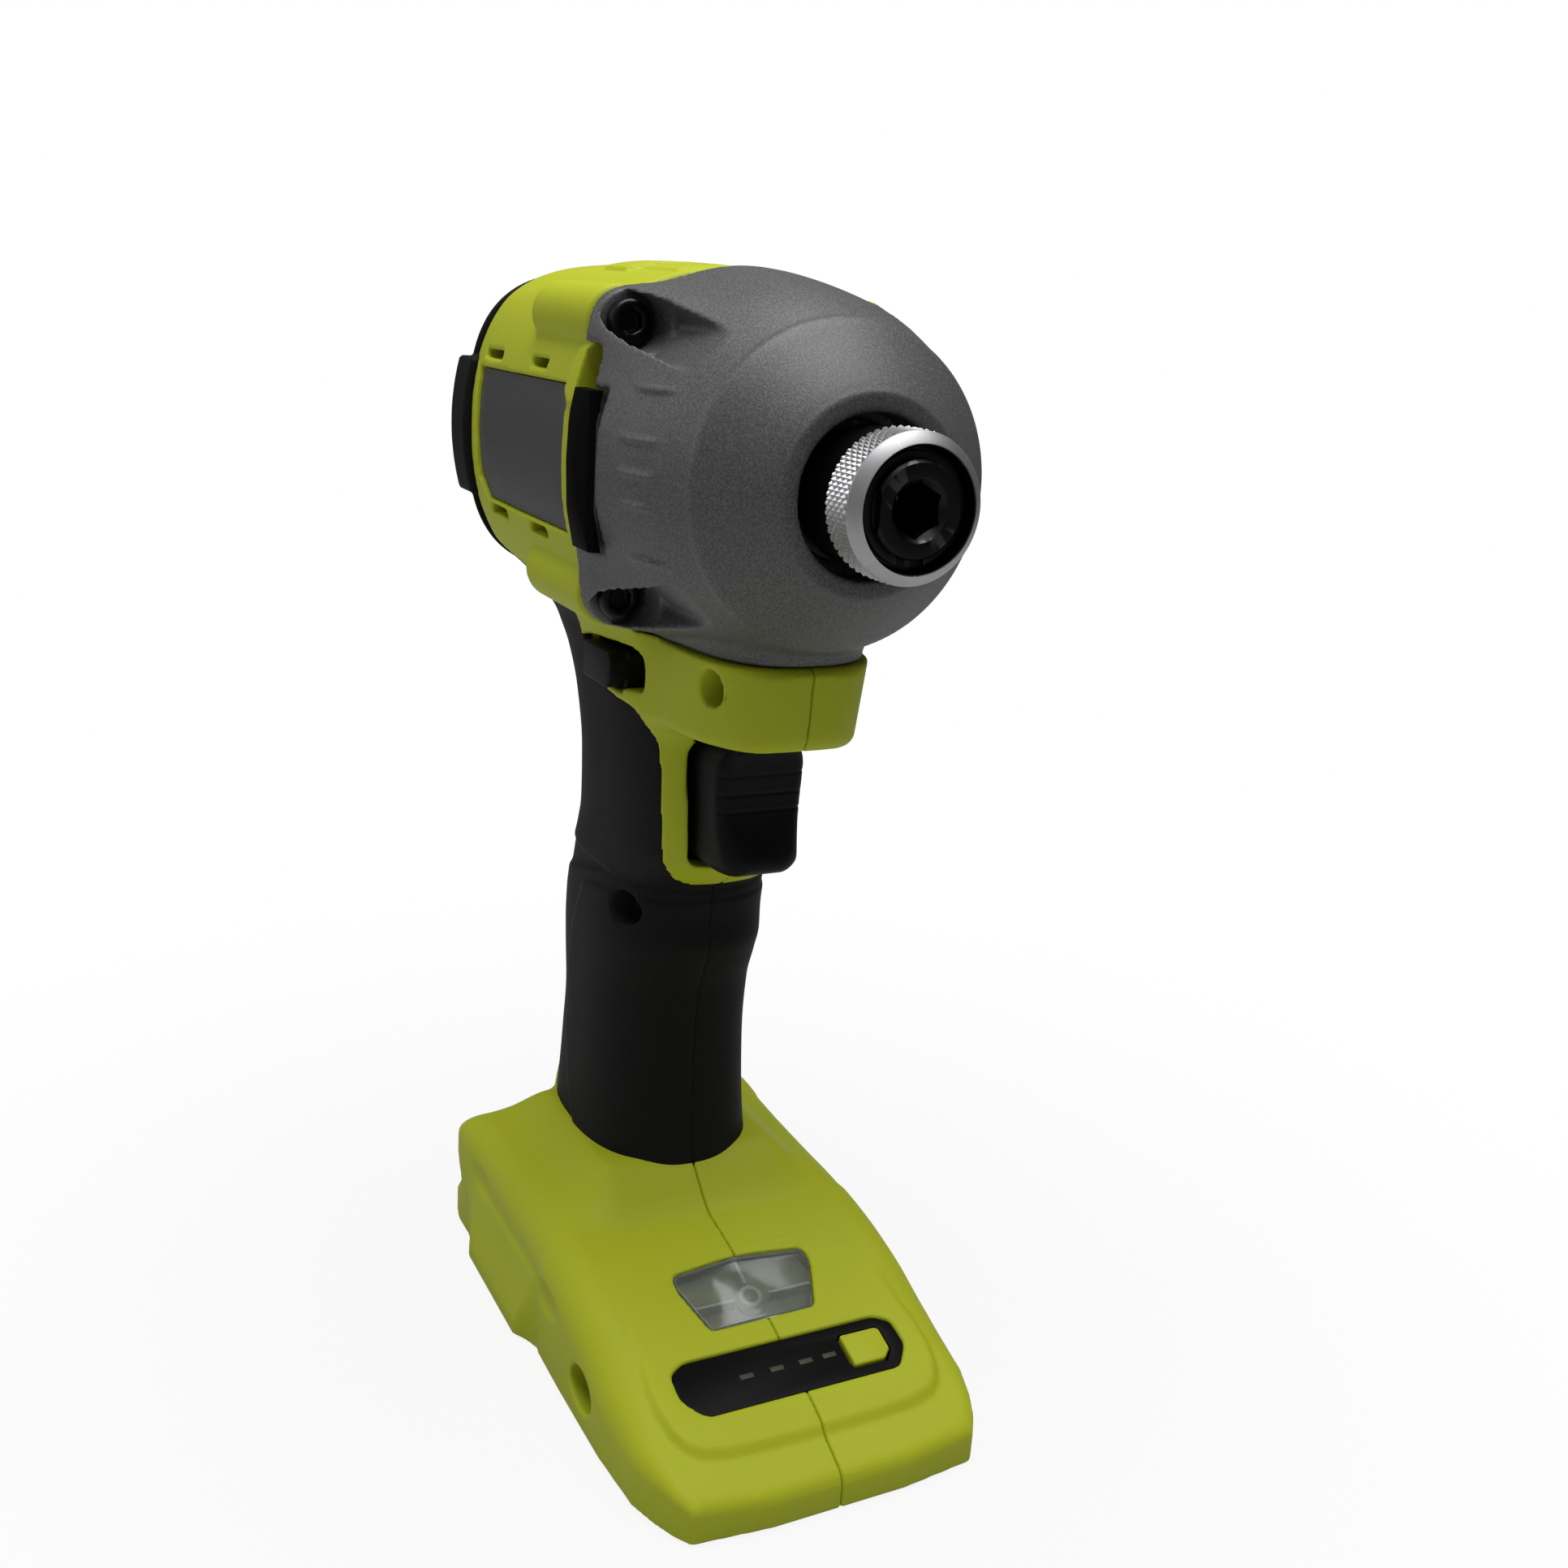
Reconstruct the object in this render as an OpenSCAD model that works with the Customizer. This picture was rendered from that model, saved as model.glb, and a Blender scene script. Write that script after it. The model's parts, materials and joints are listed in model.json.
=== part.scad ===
// Compact impact driver, 1/4 in hex, bare tool without a battery.
// Millimetres. +X points toward the bit, +Y to the user's left, +Z up.
// The origin is the middle of the base of the overall box.
// Inside the modules u is the place along the axis, 0 at the front face of the anvil.

/* [Overall] */
// length from the back of the head to the front of the foot
overall_len = 119; // [118:0.5:124]
// height of the spindle axis above the foot base
axis_z = 147.2; // [146.6:0.2:148.4]
// how far the foot reaches in front of the anvil face
foot_reach = 2.7; // [1.5:0.1:4]

/* [Head] */
// half width of the head at the bay
head_half_w = 27.6; // [27.2:0.1:28.6]
// half height of the head at the bay
head_half_h = 28.4; // [28:0.1:29.4]
// thickness of the rubber on the back of the head
rubber_t = 1.9; // [1.5:0.1:2.4]
// depth of the plate recess below the widest part of the head
plate_drop = 1.6; // [1.2:0.1:1.8]
// thickness of the bare plate
plate_t = 0.7; // [0.5:0.1:0.9]

/* [Hammer case] */
// sideways place of the four case screws
ear_y = 20.3; // [20:0.1:20.6]
// vertical place of the four case screws from the axis
ear_z = 19.7; // [19.4:0.1:20]
// how far the screw ears stand out of the dome
ear_rise = 4.4; // [4:0.1:5]
// radius of the flat ring at the front of the dome
boss_r = 13.3; // [12.8:0.1:14.2]
// bore radius of the case around the hammer
case_bore_r = 22.8; // [22.6:0.1:23]

/* [Chuck] */
// width across flats of the hex bit socket
hex_af = 6.45; // [6.4:0.01:6.6]
// depth of the hex bit socket
hex_deep = 26; // [22:0.5:28]
// radius of the anvil shank
anvil_r = 6.35; // [6.2:0.05:6.4]
// outer radius of the knurled sleeve
sleeve_r = 10; // [9.6:0.1:10.5]
// length of the knurled band
knurl_len = 6.4; // [5.5:0.1:7]

/* [Gear train] */
// gear module
gear_m = 0.75; // [0.74:0.005:0.755]
// width of the planet gears
planet_w = 6; // [5:0.5:6]
// how much each tooth flank is thinned for backlash
flank_play = 0.05; // [0.05:0.01:0.08]

/* [Hammer] */
// outer radius of the hammer
hammer_r = 22; // [21:0.1:22.2]
// how far the hammer draws back on its cams
hammer_draw = 6.5; // [5:0.5:6.5]
// wire radius of the hammer spring
hammer_wire_r = 1.1; // [0.9:0.05:1.2]

/* [Handle] */
// thickness of the soft grip skin
grip_t = 1.8; // [1.4:0.1:2]
// wall of the handle under the skin
handle_wall = 2; // [1.7:0.1:2.2]
// half width of the trigger
trigger_half_w = 8; // [7.6:0.1:8.4]
// travel of the trigger
trigger_pull = 6.5; // [5:0.5:6.5]

/* [Foot] */
// half width of the foot at its sides
foot_half_w = 29.5; // [29:0.1:30.5]
// half width of the foot at its front edge
foot_front_half_w = 22.8; // [21:0.2:25]
// angle of the foot top toward the front
foot_slope = 16.7; // [16:0.1:17.5]

/* [Fits] */
// clearance of a close running fit
run_fit = 0.06; // [0.03:0.01:0.1]
// gap between moving pieces that must not touch
free_gap = 0.35; // [0.3:0.05:0.4]
// gap between seated pieces
seat_gap = 0.05; // [0.02:0.01:0.1]

/* [Hidden] */
$fn = 72;

// places along the axis
sleeve_x = overall_len / 2 - foot_reach;
back_u = foot_reach - overall_len;
// the motor room behind rear_u stretches with the length
rear_u = -86.4;
rear_k = (rear_u - back_u) / 29.9;
function rear(u) = u > rear_u ? u : rear_u + (u - rear_u) * rear_k;
bump_u = rear(-107.6);
case_end_u = -52;
barrel_end_u = -79;
// the works around the axis follow the width and height of the head
core_k = min(head_half_w / 27.6, head_half_h / 28.4);
core_side = head_half_w / core_k;
case_wall = 1.5;
barrel_r = case_bore_r + case_wall;
motor_bay_r = case_bore_r + 0.8;

// foot top line
foot_line_u = -1.8;
foot_line_z = 9.6;
foot_top_t = tan(foot_slope);
lens_u = -29.3;
ear_floor_u = -46;
panel_u = -14.6;

// gears
sun_n = 12;
planet_n = 18;
ring_n = 48;
press_a = 25;
planet_off = gear_m * (sun_n + planet_n) / 2;
planet_u = -71;
pin_r = 2;

// springs
hammer_coil_r = 12.3;
hammer_turns = 5;
sleeve_wire_r = 0.4;
sleeve_coil_r = 7.35;
sleeve_turns = 5;

// trigger and selector
trigger_z0 = 85.6;
trigger_z1 = 106.7;
selector_u = -63;
selector_z = 114.2;
selector_len = 17.8;
trigger_back_u = -52.6;
switch_front_u = trigger_back_u - trigger_pull - 1.7;
carrier_front_u = -64.4;
hammer_back_u = carrier_front_u + 1.7 + hammer_draw;
screw_places = [[-31, 117.4], [-57.6, 77], [-29, 7.4], [-97.4, 9.6]];
guard_len = 18.7;
side_bow = 43;
guard_half_w = 14;

// helpers

function signed_pow(v, p) = sign(v) * pow(abs(v), p);

function oval(a, b, n, k) = [
  for (i = [0:k - 1]) let (t = 360 * (i + 0.5) / k)
    [a * signed_pow(cos(t), 2 / n), b * signed_pow(sin(t), 2 / n)]
];

function foot_top(u) = foot_line_z + (foot_line_u - u) * foot_top_t;

module place() {
  translate([sleeve_x, 0, 0]) children();
}

module on_axis() {
  translate([0, 0, axis_z]) rotate([0, 90, 0]) children();
}

module core() {
  translate([0, 0, axis_z]) scale([1, core_k, core_k]) translate([0, 0, -axis_z]) children();
}

module rear_room() {
  translate([rear_u, 0, 0]) scale([rear_k, 1, 1]) translate([-rear_u, 0, 0]) children();
}

module turned(points) {
  on_axis() rotate_extrude($fn = 96) polygon(points);
}

module tube(r0, r1, u0, u1) {
  turned([[r0, u0], [r1, u0], [r1, u1], [r0, u1]]);
}

module rod(r, u0, u1) {
  on_axis() translate([0, 0, min(u0, u1)]) cylinder(r = r, h = abs(u1 - u0));
}

module rod_x(r, u0, u1, y, z) {
  translate([min(u0, u1), y, z]) rotate([0, 90, 0]) cylinder(r = r, h = abs(u1 - u0));
}

module rod_y(r, u, z, y0, y1) {
  translate([u, y1, z]) rotate([90, 0, 0]) cylinder(r = r, h = y1 - y0);
}

module block(u0, u1, y0, y1, z0, z1) {
  translate([u0, y0, z0]) cube([u1 - u0, y1 - y0, z1 - z0]);
}

module side_shape(points, y0, y1) {
  translate([0, y1, 0]) rotate([90, 0, 0]) linear_extrude(y1 - y0) polygon(points);
}

module on_slope(u) {
  translate([u, 0, foot_top(u)]) rotate([0, foot_slope, 0]) children();
}

function middle(points) = [for (i = [0:2]) sum_of([for (p = points) p[i]]) / len(points)];

function sum_of(v, i = 0) = i >= len(v) ? 0 : v[i] + sum_of(v, i + 1);

module loft(secs) {
  k = len(secs[0]);
  n = len(secs);
  polyhedron(
    points = concat([for (s = secs) each s], [middle(secs[0]), middle(secs[n - 1])]),
    faces = concat(
      [for (j = [0:k - 1]) [n * k, j, (j + 1) % k]],
      [for (i = [0:n - 2], j = [0:k - 1]) [i * k + j, i * k + k + j, i * k + k + (j + 1) % k]],
      [for (i = [0:n - 2], j = [0:k - 1]) [i * k + j, i * k + k + (j + 1) % k, i * k + (j + 1) % k]],
      [for (j = [0:k - 1]) [n * k + 1, (n - 1) * k + (j + 1) % k, (n - 1) * k + j]]
    )
  );
}

module half(side) {
  intersection() {
    children();
    translate([-150, side > 0 ? 0 : -60, -5]) cube([180, 60, 200]);
  }
}

module mirrored_y() {
  children();
  mirror([0, 1, 0]) children();
}

// outer forms

head_rows = [
  [rear(-114), head_half_w - 8.6, head_half_h - 9.4, 2.7],
  [rear(-112), head_half_w - 6, head_half_h - 6.6, 2.7],
  [bump_u - 0.1, head_half_w - 2.1 - rubber_t, head_half_h - 2.1 - rubber_t, 2.8],
  [bump_u, head_half_w - 2.1, head_half_h - 2.1, 2.8],
  [rear(-104), head_half_w - 1.2, head_half_h - 1.2, 2.9],
  [rear(-96), head_half_w - 0.5, head_half_h - 0.5, 2.9],
  [-80, head_half_w - 0.1, head_half_h - 0.1, 2.9],
  [-62, head_half_w, head_half_h, 3],
  [case_end_u - 0.2, head_half_w, head_half_h, 3.2]
];

bumper_rows = [
  [back_u, head_half_w - 10.1, head_half_h - 10.9, 2.6],
  [rear(-114.6), head_half_w - 6, head_half_h - 6.6, 2.8],
  [rear(-111.5), head_half_w - 3.2, head_half_h - 3.4, 3.1],
  [bump_u, head_half_w - 2.1, head_half_h - 2.1, 3.3]
];

// half width along u of the bulging sides of the head
side_rows = [
  [rear(-118), head_half_w - 3.4], [rear(-104), head_half_w - 1.3], [rear(-96), head_half_w - 0.6],
  [-80, head_half_w - 0.2], [-62, head_half_w - 0.12], [-40, head_half_w - 0.12]
];

// height, front, back and half width of the handle
handle_rows = [
  [14, -52.6, -96.8, 17.4],
  [20, -53.2, -96.3, 16.4],
  [25, -54, -96, 15.6],
  [32, -55.3, -95.6, 14.9],
  [42, -56.3, -95, 14.4],
  [50, -56.7, -94.4, 14.2],
  [58, -56.2, -95, 14.4],
  [64, -54.2, -95.2, 14.7],
  [68, -52.9, -95, 14.8],
  [72, -53.2, -94, 14.8],
  [78, -52.3, -92.2, 14.8],
  [86, -45.6, -90.6, 14.8],
  [96, -43.8, -90.8, 15],
  [106, -43.6, -93, 15.6],
  [113, -44.5, -96.4, 16.4],
  [118, -46, -100.4, 17.4],
  [axis_z - head_half_h + 4.2, -46, -104, 18.4]
];

function x_section(row, k) = [
  for (p = oval(row[1], row[2], row[3], k)) [row[0], p[0], axis_z + p[1]]
];

function handle_section(row, inset) = let (
  mid = (row[1] + row[2]) / 2,
  a = (row[1] - row[2]) / 2 - inset
) [for (p = oval(a, row[3] - inset, 2.6, 28)) [mid + p[0], p[1], row[0]]];

function bow_section(u, f) = concat(
  [for (h = [-30:6:30]) [u, f - h * h / (2 * side_bow), axis_z + h]],
  [for (h = [30:-6:-30]) [u, h * h / (2 * side_bow) - f, axis_z + h]]
);

// block between the bulging sides, moved in by an inset
module side_bulge(inset) {
  loft([for (r = side_rows) bow_section(r[0], r[1] - inset)]);
}

module head_form() {
  intersection() {
    loft([for (r = head_rows) x_section(r, 44)]);
    side_bulge(0);
  }
}

module bumper_form() {
  loft([for (r = bumper_rows) x_section(r, 44)]);
}

module handle_form(inset) {
  loft([for (r = handle_rows) handle_section(r, inset)]);
}

module handle_bore() {
  inset = grip_t + handle_wall;
  first = handle_section([-2, -52.6, -96.8, 17], inset);
  last = handle_section([axis_z - head_half_h + 6.9, -50, -102, 16], inset);
  loft(concat([first], [for (r = handle_rows) handle_section(r, inset)], [last]));
}

// dome of the hammer case: radius along u, swell of the ears along u
dome_r = [
  [-53, 28.5], [-48, 28.5], [-43, 28.4], [-38, 28], [-33, 26.9], [-28, 25.3], [-24, 24], [-20.4, 22.5]
];
dome_ear = [[-53, 1], [-40, 1], [-36, 0.85], [-32, 0.6], [-28, 0.33], [-24, 0.1], [-20.4, 0]];
dome_u = [case_end_u, -46, -41, -37, -33, -29, -25, -20.4];
ear_angle = atan2(ear_z, ear_y);

function dome_rho(u, t, grow) = let (
  fold = atan2(abs(sin(t)), abs(cos(t))),
  swell = exp(-pow((fold - ear_angle) / 12.5, 2)),
  rho = lookup(u, dome_r) + ear_rise * lookup(u, dome_ear) * swell
) min(rho + grow, (core_side + grow) / max(abs(cos(t)), 0.001));

function dome_section(u, grow) = [
  for (i = [0:47]) let (t = 360 * (i + 0.5) / 48, r = dome_rho(u, t, grow))
    [u, r * cos(t), axis_z + r * sin(t)]
];

module dome_form(grow) {
  loft([for (u = dome_u) dome_section(u == case_end_u ? u - grow : u, grow)]);
}

module guard_plan(inset, u_back) {
  w = guard_half_w - inset;
  front = [for (p = oval(guard_len - inset, w, 2.6, 36)) if (p[0] > 0.01) p];
  polygon(concat(
    [for (p = front) if (p[1] > 0) [p[0] - 42, p[1]]],
    [[u_back, w], [u_back, -w]],
    [for (p = front) if (p[1] < 0) [p[0] - 42, p[1]]]
  ));
}

module guard_form(inset, u_back, z0, z1) {
  translate([0, 0, z0]) linear_extrude(z1 - z0) guard_plan(inset, u_back);
}

// side of the handle where the hard plastic is bare
module bare_region() {
  side_shape([
    [-106, 130], [-101, 122], [-85, 114.8], [-72, 110.6], [-62, 109.7], [-53, 109.1], [-51.2, 107.5],
    [-49.9, 103], [-49.3, 97.9], [-49.4, 85.4], [-50.2, 82.4], [-50.9, 80.4], [-44, 79.6], [-15, 79.6],
    [-15, 130]
  ], -40, 40);
  side_shape([[-115, 5], [-88, 5], [-89.5, 28], [-92, 40], [-94, 49], [-115, 52]], -40, 40);
}

function foot_side(d) = [
  [foot_reach - d, foot_front_half_w - d], [-2.6 - d / 2, foot_half_w - 3.2 - d], [-12, foot_half_w - 0.2 - d],
  [-48, foot_half_w - d], [-52, foot_half_w - 0.8 - d], [-84, foot_half_w - 0.8 - d],
  [-88, foot_half_w - d], [-96 + d / 2, foot_half_w - d], [-100 + d / 2, foot_half_w - 2.4 - d],
  [-103.4 + d, foot_half_w - 7 - d], [-104.6 + d, foot_half_w - 13 - d]
];

function foot_plan(d) = concat(
  foot_side(d),
  [for (i = [len(foot_side(d)) - 1:-1:0]) [foot_side(d)[i][0], -foot_side(d)[i][1]]]
);

module foot_flare() {
  intersection() {
    translate([-90, 0, 0]) rotate([90, 0, 90]) linear_extrude(45) polygon([
      [foot_half_w - 4, 0], [foot_half_w + 2.1, 0], [foot_half_w + 1.9, 3], [foot_half_w - 0.8, 11.5],
      [foot_half_w - 4, 11.5]
    ]);
    linear_extrude(20) polygon([
      [-86, foot_half_w - 5], [-86, foot_half_w - 1], [-81, foot_half_w + 2.2], [-56, foot_half_w + 2.2],
      [-52, foot_half_w - 1], [-52, foot_half_w - 5]
    ]);
  }
}

// raised deck around the lamp and the panel
function deck_side() = [
  [-60, foot_half_w - 9], [-24, foot_half_w - 7.7], [-15, foot_half_w - 6.5], [-7.5, foot_half_w - 7.7],
  [-2.9, foot_half_w - 11.3], [-1.6, 3]
];

module deck_border() {
  difference() {
    side_shape([
      [-27, foot_top(-27)], [foot_reach + 3, foot_top(foot_reach + 3) - 1.8], [foot_reach + 3, 40], [-27, 40]
    ], -40, 40);
    translate([0, 0, -1]) linear_extrude(60) polygon(concat(
      deck_side(), [for (i = [len(deck_side()) - 1:-1:0]) [deck_side()[i][0], -deck_side()[i][1]]]
    ));
  }
}

module foot_form() {
  difference() {
    intersection() {
      linear_extrude(40) polygon(foot_plan(0));
      side_shape([
        [foot_reach + 1, -1], [foot_reach + 0.02, 5.4], [foot_reach - 1.2, 7.8], [foot_line_u, foot_line_z],
        [-44, foot_top(-44)], [-50, foot_top(-44) + 1.2], [-53, foot_top(-44) + 3.2], [-55, foot_top(-44) + 6],
        [-60, foot_top(-44) + 6.4], [-87, foot_top(-44) + 6], [-92, 24.6], [-97.6, 18.6], [-101.6, 13],
        [-104.4, 7], [-105, -1]
      ], -40, 40);
      translate([20, 0, 0]) rotate([0, -90, 0]) linear_extrude(160) polygon([
        [-1, -34], [-1, 34], [17.6, foot_half_w + 0.3], [19.6, foot_half_w - 0.6], [21.4, foot_half_w - 2.6],
        [24.6, 19], [29, 16], [29, -16], [24.6, -19], [21.4, -foot_half_w + 2.6],
        [19.6, -foot_half_w + 0.6], [17.6, -foot_half_w - 0.3]
      ]);
      on_slope(-20) translate([-100, 0, 0]) rotate([90, 0, 90]) linear_extrude(160) polygon([
        [-25, 2], [25, 2], [25, -0.4], [27.4, -1.8], [29, -4], [foot_half_w + 0.6, -7], [36, -40],
        [-36, -40], [-foot_half_w - 0.6, -7], [-29, -4], [-27.4, -1.8], [-25, -0.4]
      ]);
    }
    deck_border();
  }
  mirrored_y() foot_flare();
}

module lens_plan(gap) {
  polygon([
    [-9 - gap, 0], [-6 - gap, 11.6 + gap], [-3.4, 12.2 + gap], [6 + gap, 8.8 + gap],
    [6 + gap, -8.8 - gap], [-3.4, -12.2 - gap], [-6 - gap, -11.6 - gap]
  ]);
}

module panel_plan(gap) {
  polygon([
    [-5 - gap, 16.8 + gap], [-3.4 - gap, 19.2 + gap], [1.2, 19.4 + gap], [4.8 + gap, 16.6 + gap],
    [4.8 + gap, -16.6 - gap], [1.2, -19.4 - gap], [-3.4 - gap, -19.2 - gap], [-5 - gap, -16.8 - gap]
  ]);
}

plate_outline = [
  [rear(-102.2), axis_z + 9.9], [-56.6, axis_z + 10.3], [-56.6, axis_z - 11.5], [rear(-96.8), axis_z - 11.5],
  [rear(-100.6), axis_z - 8.2], [rear(-101.2), axis_z - 2]
];

// housing

// rounded tab above each side bar, over the edge of the hammer case
module side_tab() {
  intersection() {
    side_shape([
      [-54, axis_z + 9], [-47.8, axis_z + 11], [-47.8, axis_z + 13.6], [-48.8, axis_z + 15.2],
      [-50.6, axis_z + 15.8], [-54, axis_z + 15.8]
    ], head_half_w - 4, head_half_w);
    side_bulge(0.05);
  }
}

module screw_bosses() {
  core() mirrored_y() for (s = [-1, 1])
    rod_x(5.1, -77, case_end_u - 0.25, ear_y - 0.1, axis_z + s * (ear_z - 0.1));
}

module housing_solid() {
  difference() {
    union() {
      head_form();
      screw_bosses();
      difference() {
        union() {
          difference() {
            handle_form(grip_t);
            block(-125, 5, -40, 40, -2, 14.5);
          }
          intersection() {
            handle_form(0);
            bare_region();
          }
        }
        bumper_form();
      }
      intersection() {
        guard_form(0, -58, 107.2, 122.1);
        side_shape([
          [-62, 124], [-20, 124], [-23.2, 122.2], [-23.3, 109.7], [-27.9, 107.2], [-51, 107.1],
          [-51.2, 107.5], [-53, 109.1], [-62, 109.7]
        ], -30, 30);
      }
      foot_form();
    }
    core() {
      dome_form(0.4);
      tube(0, barrel_r + 0.3, barrel_end_u - 0.4, -40);
      tube(0, motor_bay_r, rear(-106.6), -78);
      tube(0, 18, rear(-108.5), rear(-106));
      rod(6 + seat_gap, rear(-112.5), rear(-108));
      mirrored_y() {
        rod_x(2, case_end_u - 13, -40, ear_y, axis_z + ear_z);
        rod_x(2, case_end_u - 13, -40, ear_y, axis_z - ear_z);
      }
    }
    guard_form(0.6, -51, 122.1, 134);
    handle_bore();
    guard_form(2.6, -60, 109.6, 119.6);
    trigger_mouth();
    foot_cuts();
    selector_cuts();
    mirrored_y() {
      vent(rear(-95), axis_z + 12.2, 10);
      vent(-71.5, axis_z + 12.3, 7.4);
      vent(rear(-91), axis_z - 12.9, 9.6);
      vent(-70.5, axis_z - 12.9, 8.2);
      difference() {
        side_shape(plate_outline, head_half_w - 5, 40);
        side_bulge(plate_drop);
      }
      block(rear(-115), rear(-105.6), head_half_w - 3.4, 40, axis_z - 12, axis_z + 11);
    }
  }
}

module side_tongues() {
  mirrored_y() {
    intersection() {
      block(-53.3, -42.3, head_half_w - 2.3, head_half_w - 0.6, axis_z - 13, axis_z + 13);
      side_bulge(0.05);
    }
    side_tab();
  }
}

module trigger_mouth() {
  w = trigger_half_w + 0.6;
  block(-60, -20, -w, w, trigger_z0 - 0.5, 107.1);
  block(-60, -32.6, -w, w, 107, 110);
}

module vent(u, z, len) {
  block(u - len / 2, u + len / 2, 19, 40, z - 0.6, z + 0.6);
}

module foot_cuts() {
  translate([0, 0, -1]) linear_extrude(2.5) polygon(foot_plan(2.4));
  intersection() {
    translate([0, 0, -1]) linear_extrude(9.8) polygon(foot_plan(3.4));
    block(-93, -50.5, -40, 40, -2, 20);
  }
  side_shape([
    [-45, 3.6], [-5, 3.6], [-5, foot_top(-5) - 2.4], [-45, foot_top(-45) - 2.4]
  ], -21, 21);
  on_slope(lens_u) translate([0, 0, -6]) linear_extrude(12) lens_plan(0.1);
  on_slope(panel_u) translate([0, 0, -6]) linear_extrude(12) panel_plan(0.1);
}

module selector_cuts() {
  block(
    selector_u - 6.4, selector_u + 6.4, -30, 30, selector_z - 3.2, selector_z + 3.2
  );
  mirrored_y() side_shape([
    [-73, 115.6], [-71.2, 117.6], [-69.2, 118.2], [-54.6, 119], [-51.4, 117.8], [-50.7, 115], [-51.2, 112.2],
    [-53, 111.8], [-64, 111.4], [-69, 111.4], [-72, 113.2]
  ], 12.4, 40);
}

module housing_ribs() {
  block(-84, -60.5, -12, 12, 81.6, 83.6);
  block(-93, -58, -12, 12, 62.3, 64.2);
}

module ribs_trimmed() {
  difference() {
    intersection() {
      housing_ribs();
      handle_form(grip_t + 0.4);
    }
    block(-78, -68, -8, 8, 60, 86);
  }
}

module screw_posts() {
  for (p = screw_places) rod_y(4.2, p[0], p[1], -13, 13);
}

module screw_bores() {
  for (p = screw_places) {
    rod_y(1.65, p[0], p[1], -7, 11);
    rod_y(3.1, p[0], p[1], -40, -5.6);
  }
}

module housing_half(side) {
  place() color([0.62, 0.66, 0.14]) half(side) difference() {
    union() {
      housing_solid();
      side_tongues();
      ribs_trimmed();
      difference() {
        intersection() {
          screw_posts();
          union() {
            handle_form(grip_t + 0.2);
            foot_form();
            guard_form(0.4, -58, 107.2, 121.8);
          }
        }
        dome_form(0.4);
      }
    }
    screw_bores();
  }
}

module housing_right() {
  housing_half(-1);
}

module housing_left() {
  housing_half(1);
}

// soft grip

module grip_solid() {
  difference() {
    handle_form(0);
    handle_form(grip_t);
    bare_region();
    foot_form();
    head_form();
    bumper_form();
    block(-125, 5, -40, 40, -2, 20.5);
    trigger_mouth();
  }
}

module grip_half(side) {
  place() color([0.08, 0.08, 0.085]) half(side) difference() {
    grip_solid();
    screw_bores();
  }
}

module grip_right() {
  grip_half(-1);
}

module grip_left() {
  grip_half(1);
}

// rear bumper

module bumper_pad() {
  w = head_half_w - 0.6;
  intersection() {
    block(rear(-112.9), rear(-105.6), w - 2.8, w, axis_z - 12, axis_z + 11);
    loft([bow_section(rear(-116), w), bow_section(rear(-100), w)]);
    translate([0, 0, axis_z - 20]) linear_extrude(40) polygon([
      [rear(-112.9), w - 3], [rear(-112.9), w - 1.6], [rear(-111.5), w], [rear(-106.6), w],
      [rear(-105.6), w - 0.8],
      [rear(-105.6), w - 3]
    ]);
  }
}

module rear_bumper_half(side) {
  place() color([0.08, 0.08, 0.085]) half(side) union() {
    difference() {
      bumper_form();
      head_form();
    }
    mirrored_y() bumper_pad();
  }
}

module rear_bumper_right() {
  rear_bumper_half(-1);
}

module rear_bumper_left() {
  rear_bumper_half(1);
}

// side bumper bars

module side_bar() {
  y0 = head_half_w - 0.6;
  low = axis_z - 12;
  high = axis_z + 10.4;
  difference() {
    intersection() {
      translate([0, 0, low]) linear_extrude(high - low) polygon([
        [-49.4, y0 - 2], [-42.4, y0 - 2], [-42.4, y0], [-43.2, y0 + 0.9], [-45.6, y0 + 2.2], [-48.4, y0 + 2.2],
        [-49.2, y0 + 1.5]
      ]);
      loft([bow_section(-52, y0 + 2.2), bow_section(-40, y0 + 2.2)]);
    }
    intersection() {
      block(-53.3, -42.3, head_half_w - 4, y0, axis_z - 13, axis_z + 13);
      side_bulge(0.05);
    }
    block(-53.3, -40, head_half_w - 4, head_half_w - 2.3, axis_z - 13, axis_z + 13);
  }
}

module side_bumper_right() {
  place() color([0.08, 0.08, 0.085]) mirror([0, 1, 0]) side_bar();
}

module side_bumper_left() {
  place() color([0.08, 0.08, 0.085]) side_bar();
}

module spec_plate() {
  place() color([0.3, 0.31, 0.33]) mirror([0, 1, 0]) difference() {
    intersection() {
      side_shape([
        for (p = plate_outline) [p[0] + (p[0] < rear(-90) ? 0.2 : -0.2), p[1] + (p[1] > axis_z ? -0.2 : 0.2)]
      ], head_half_w - 5, head_half_w);
      side_bulge(plate_drop - plate_t);
    }
    side_bulge(plate_drop);
  }
}

// hammer case

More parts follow.
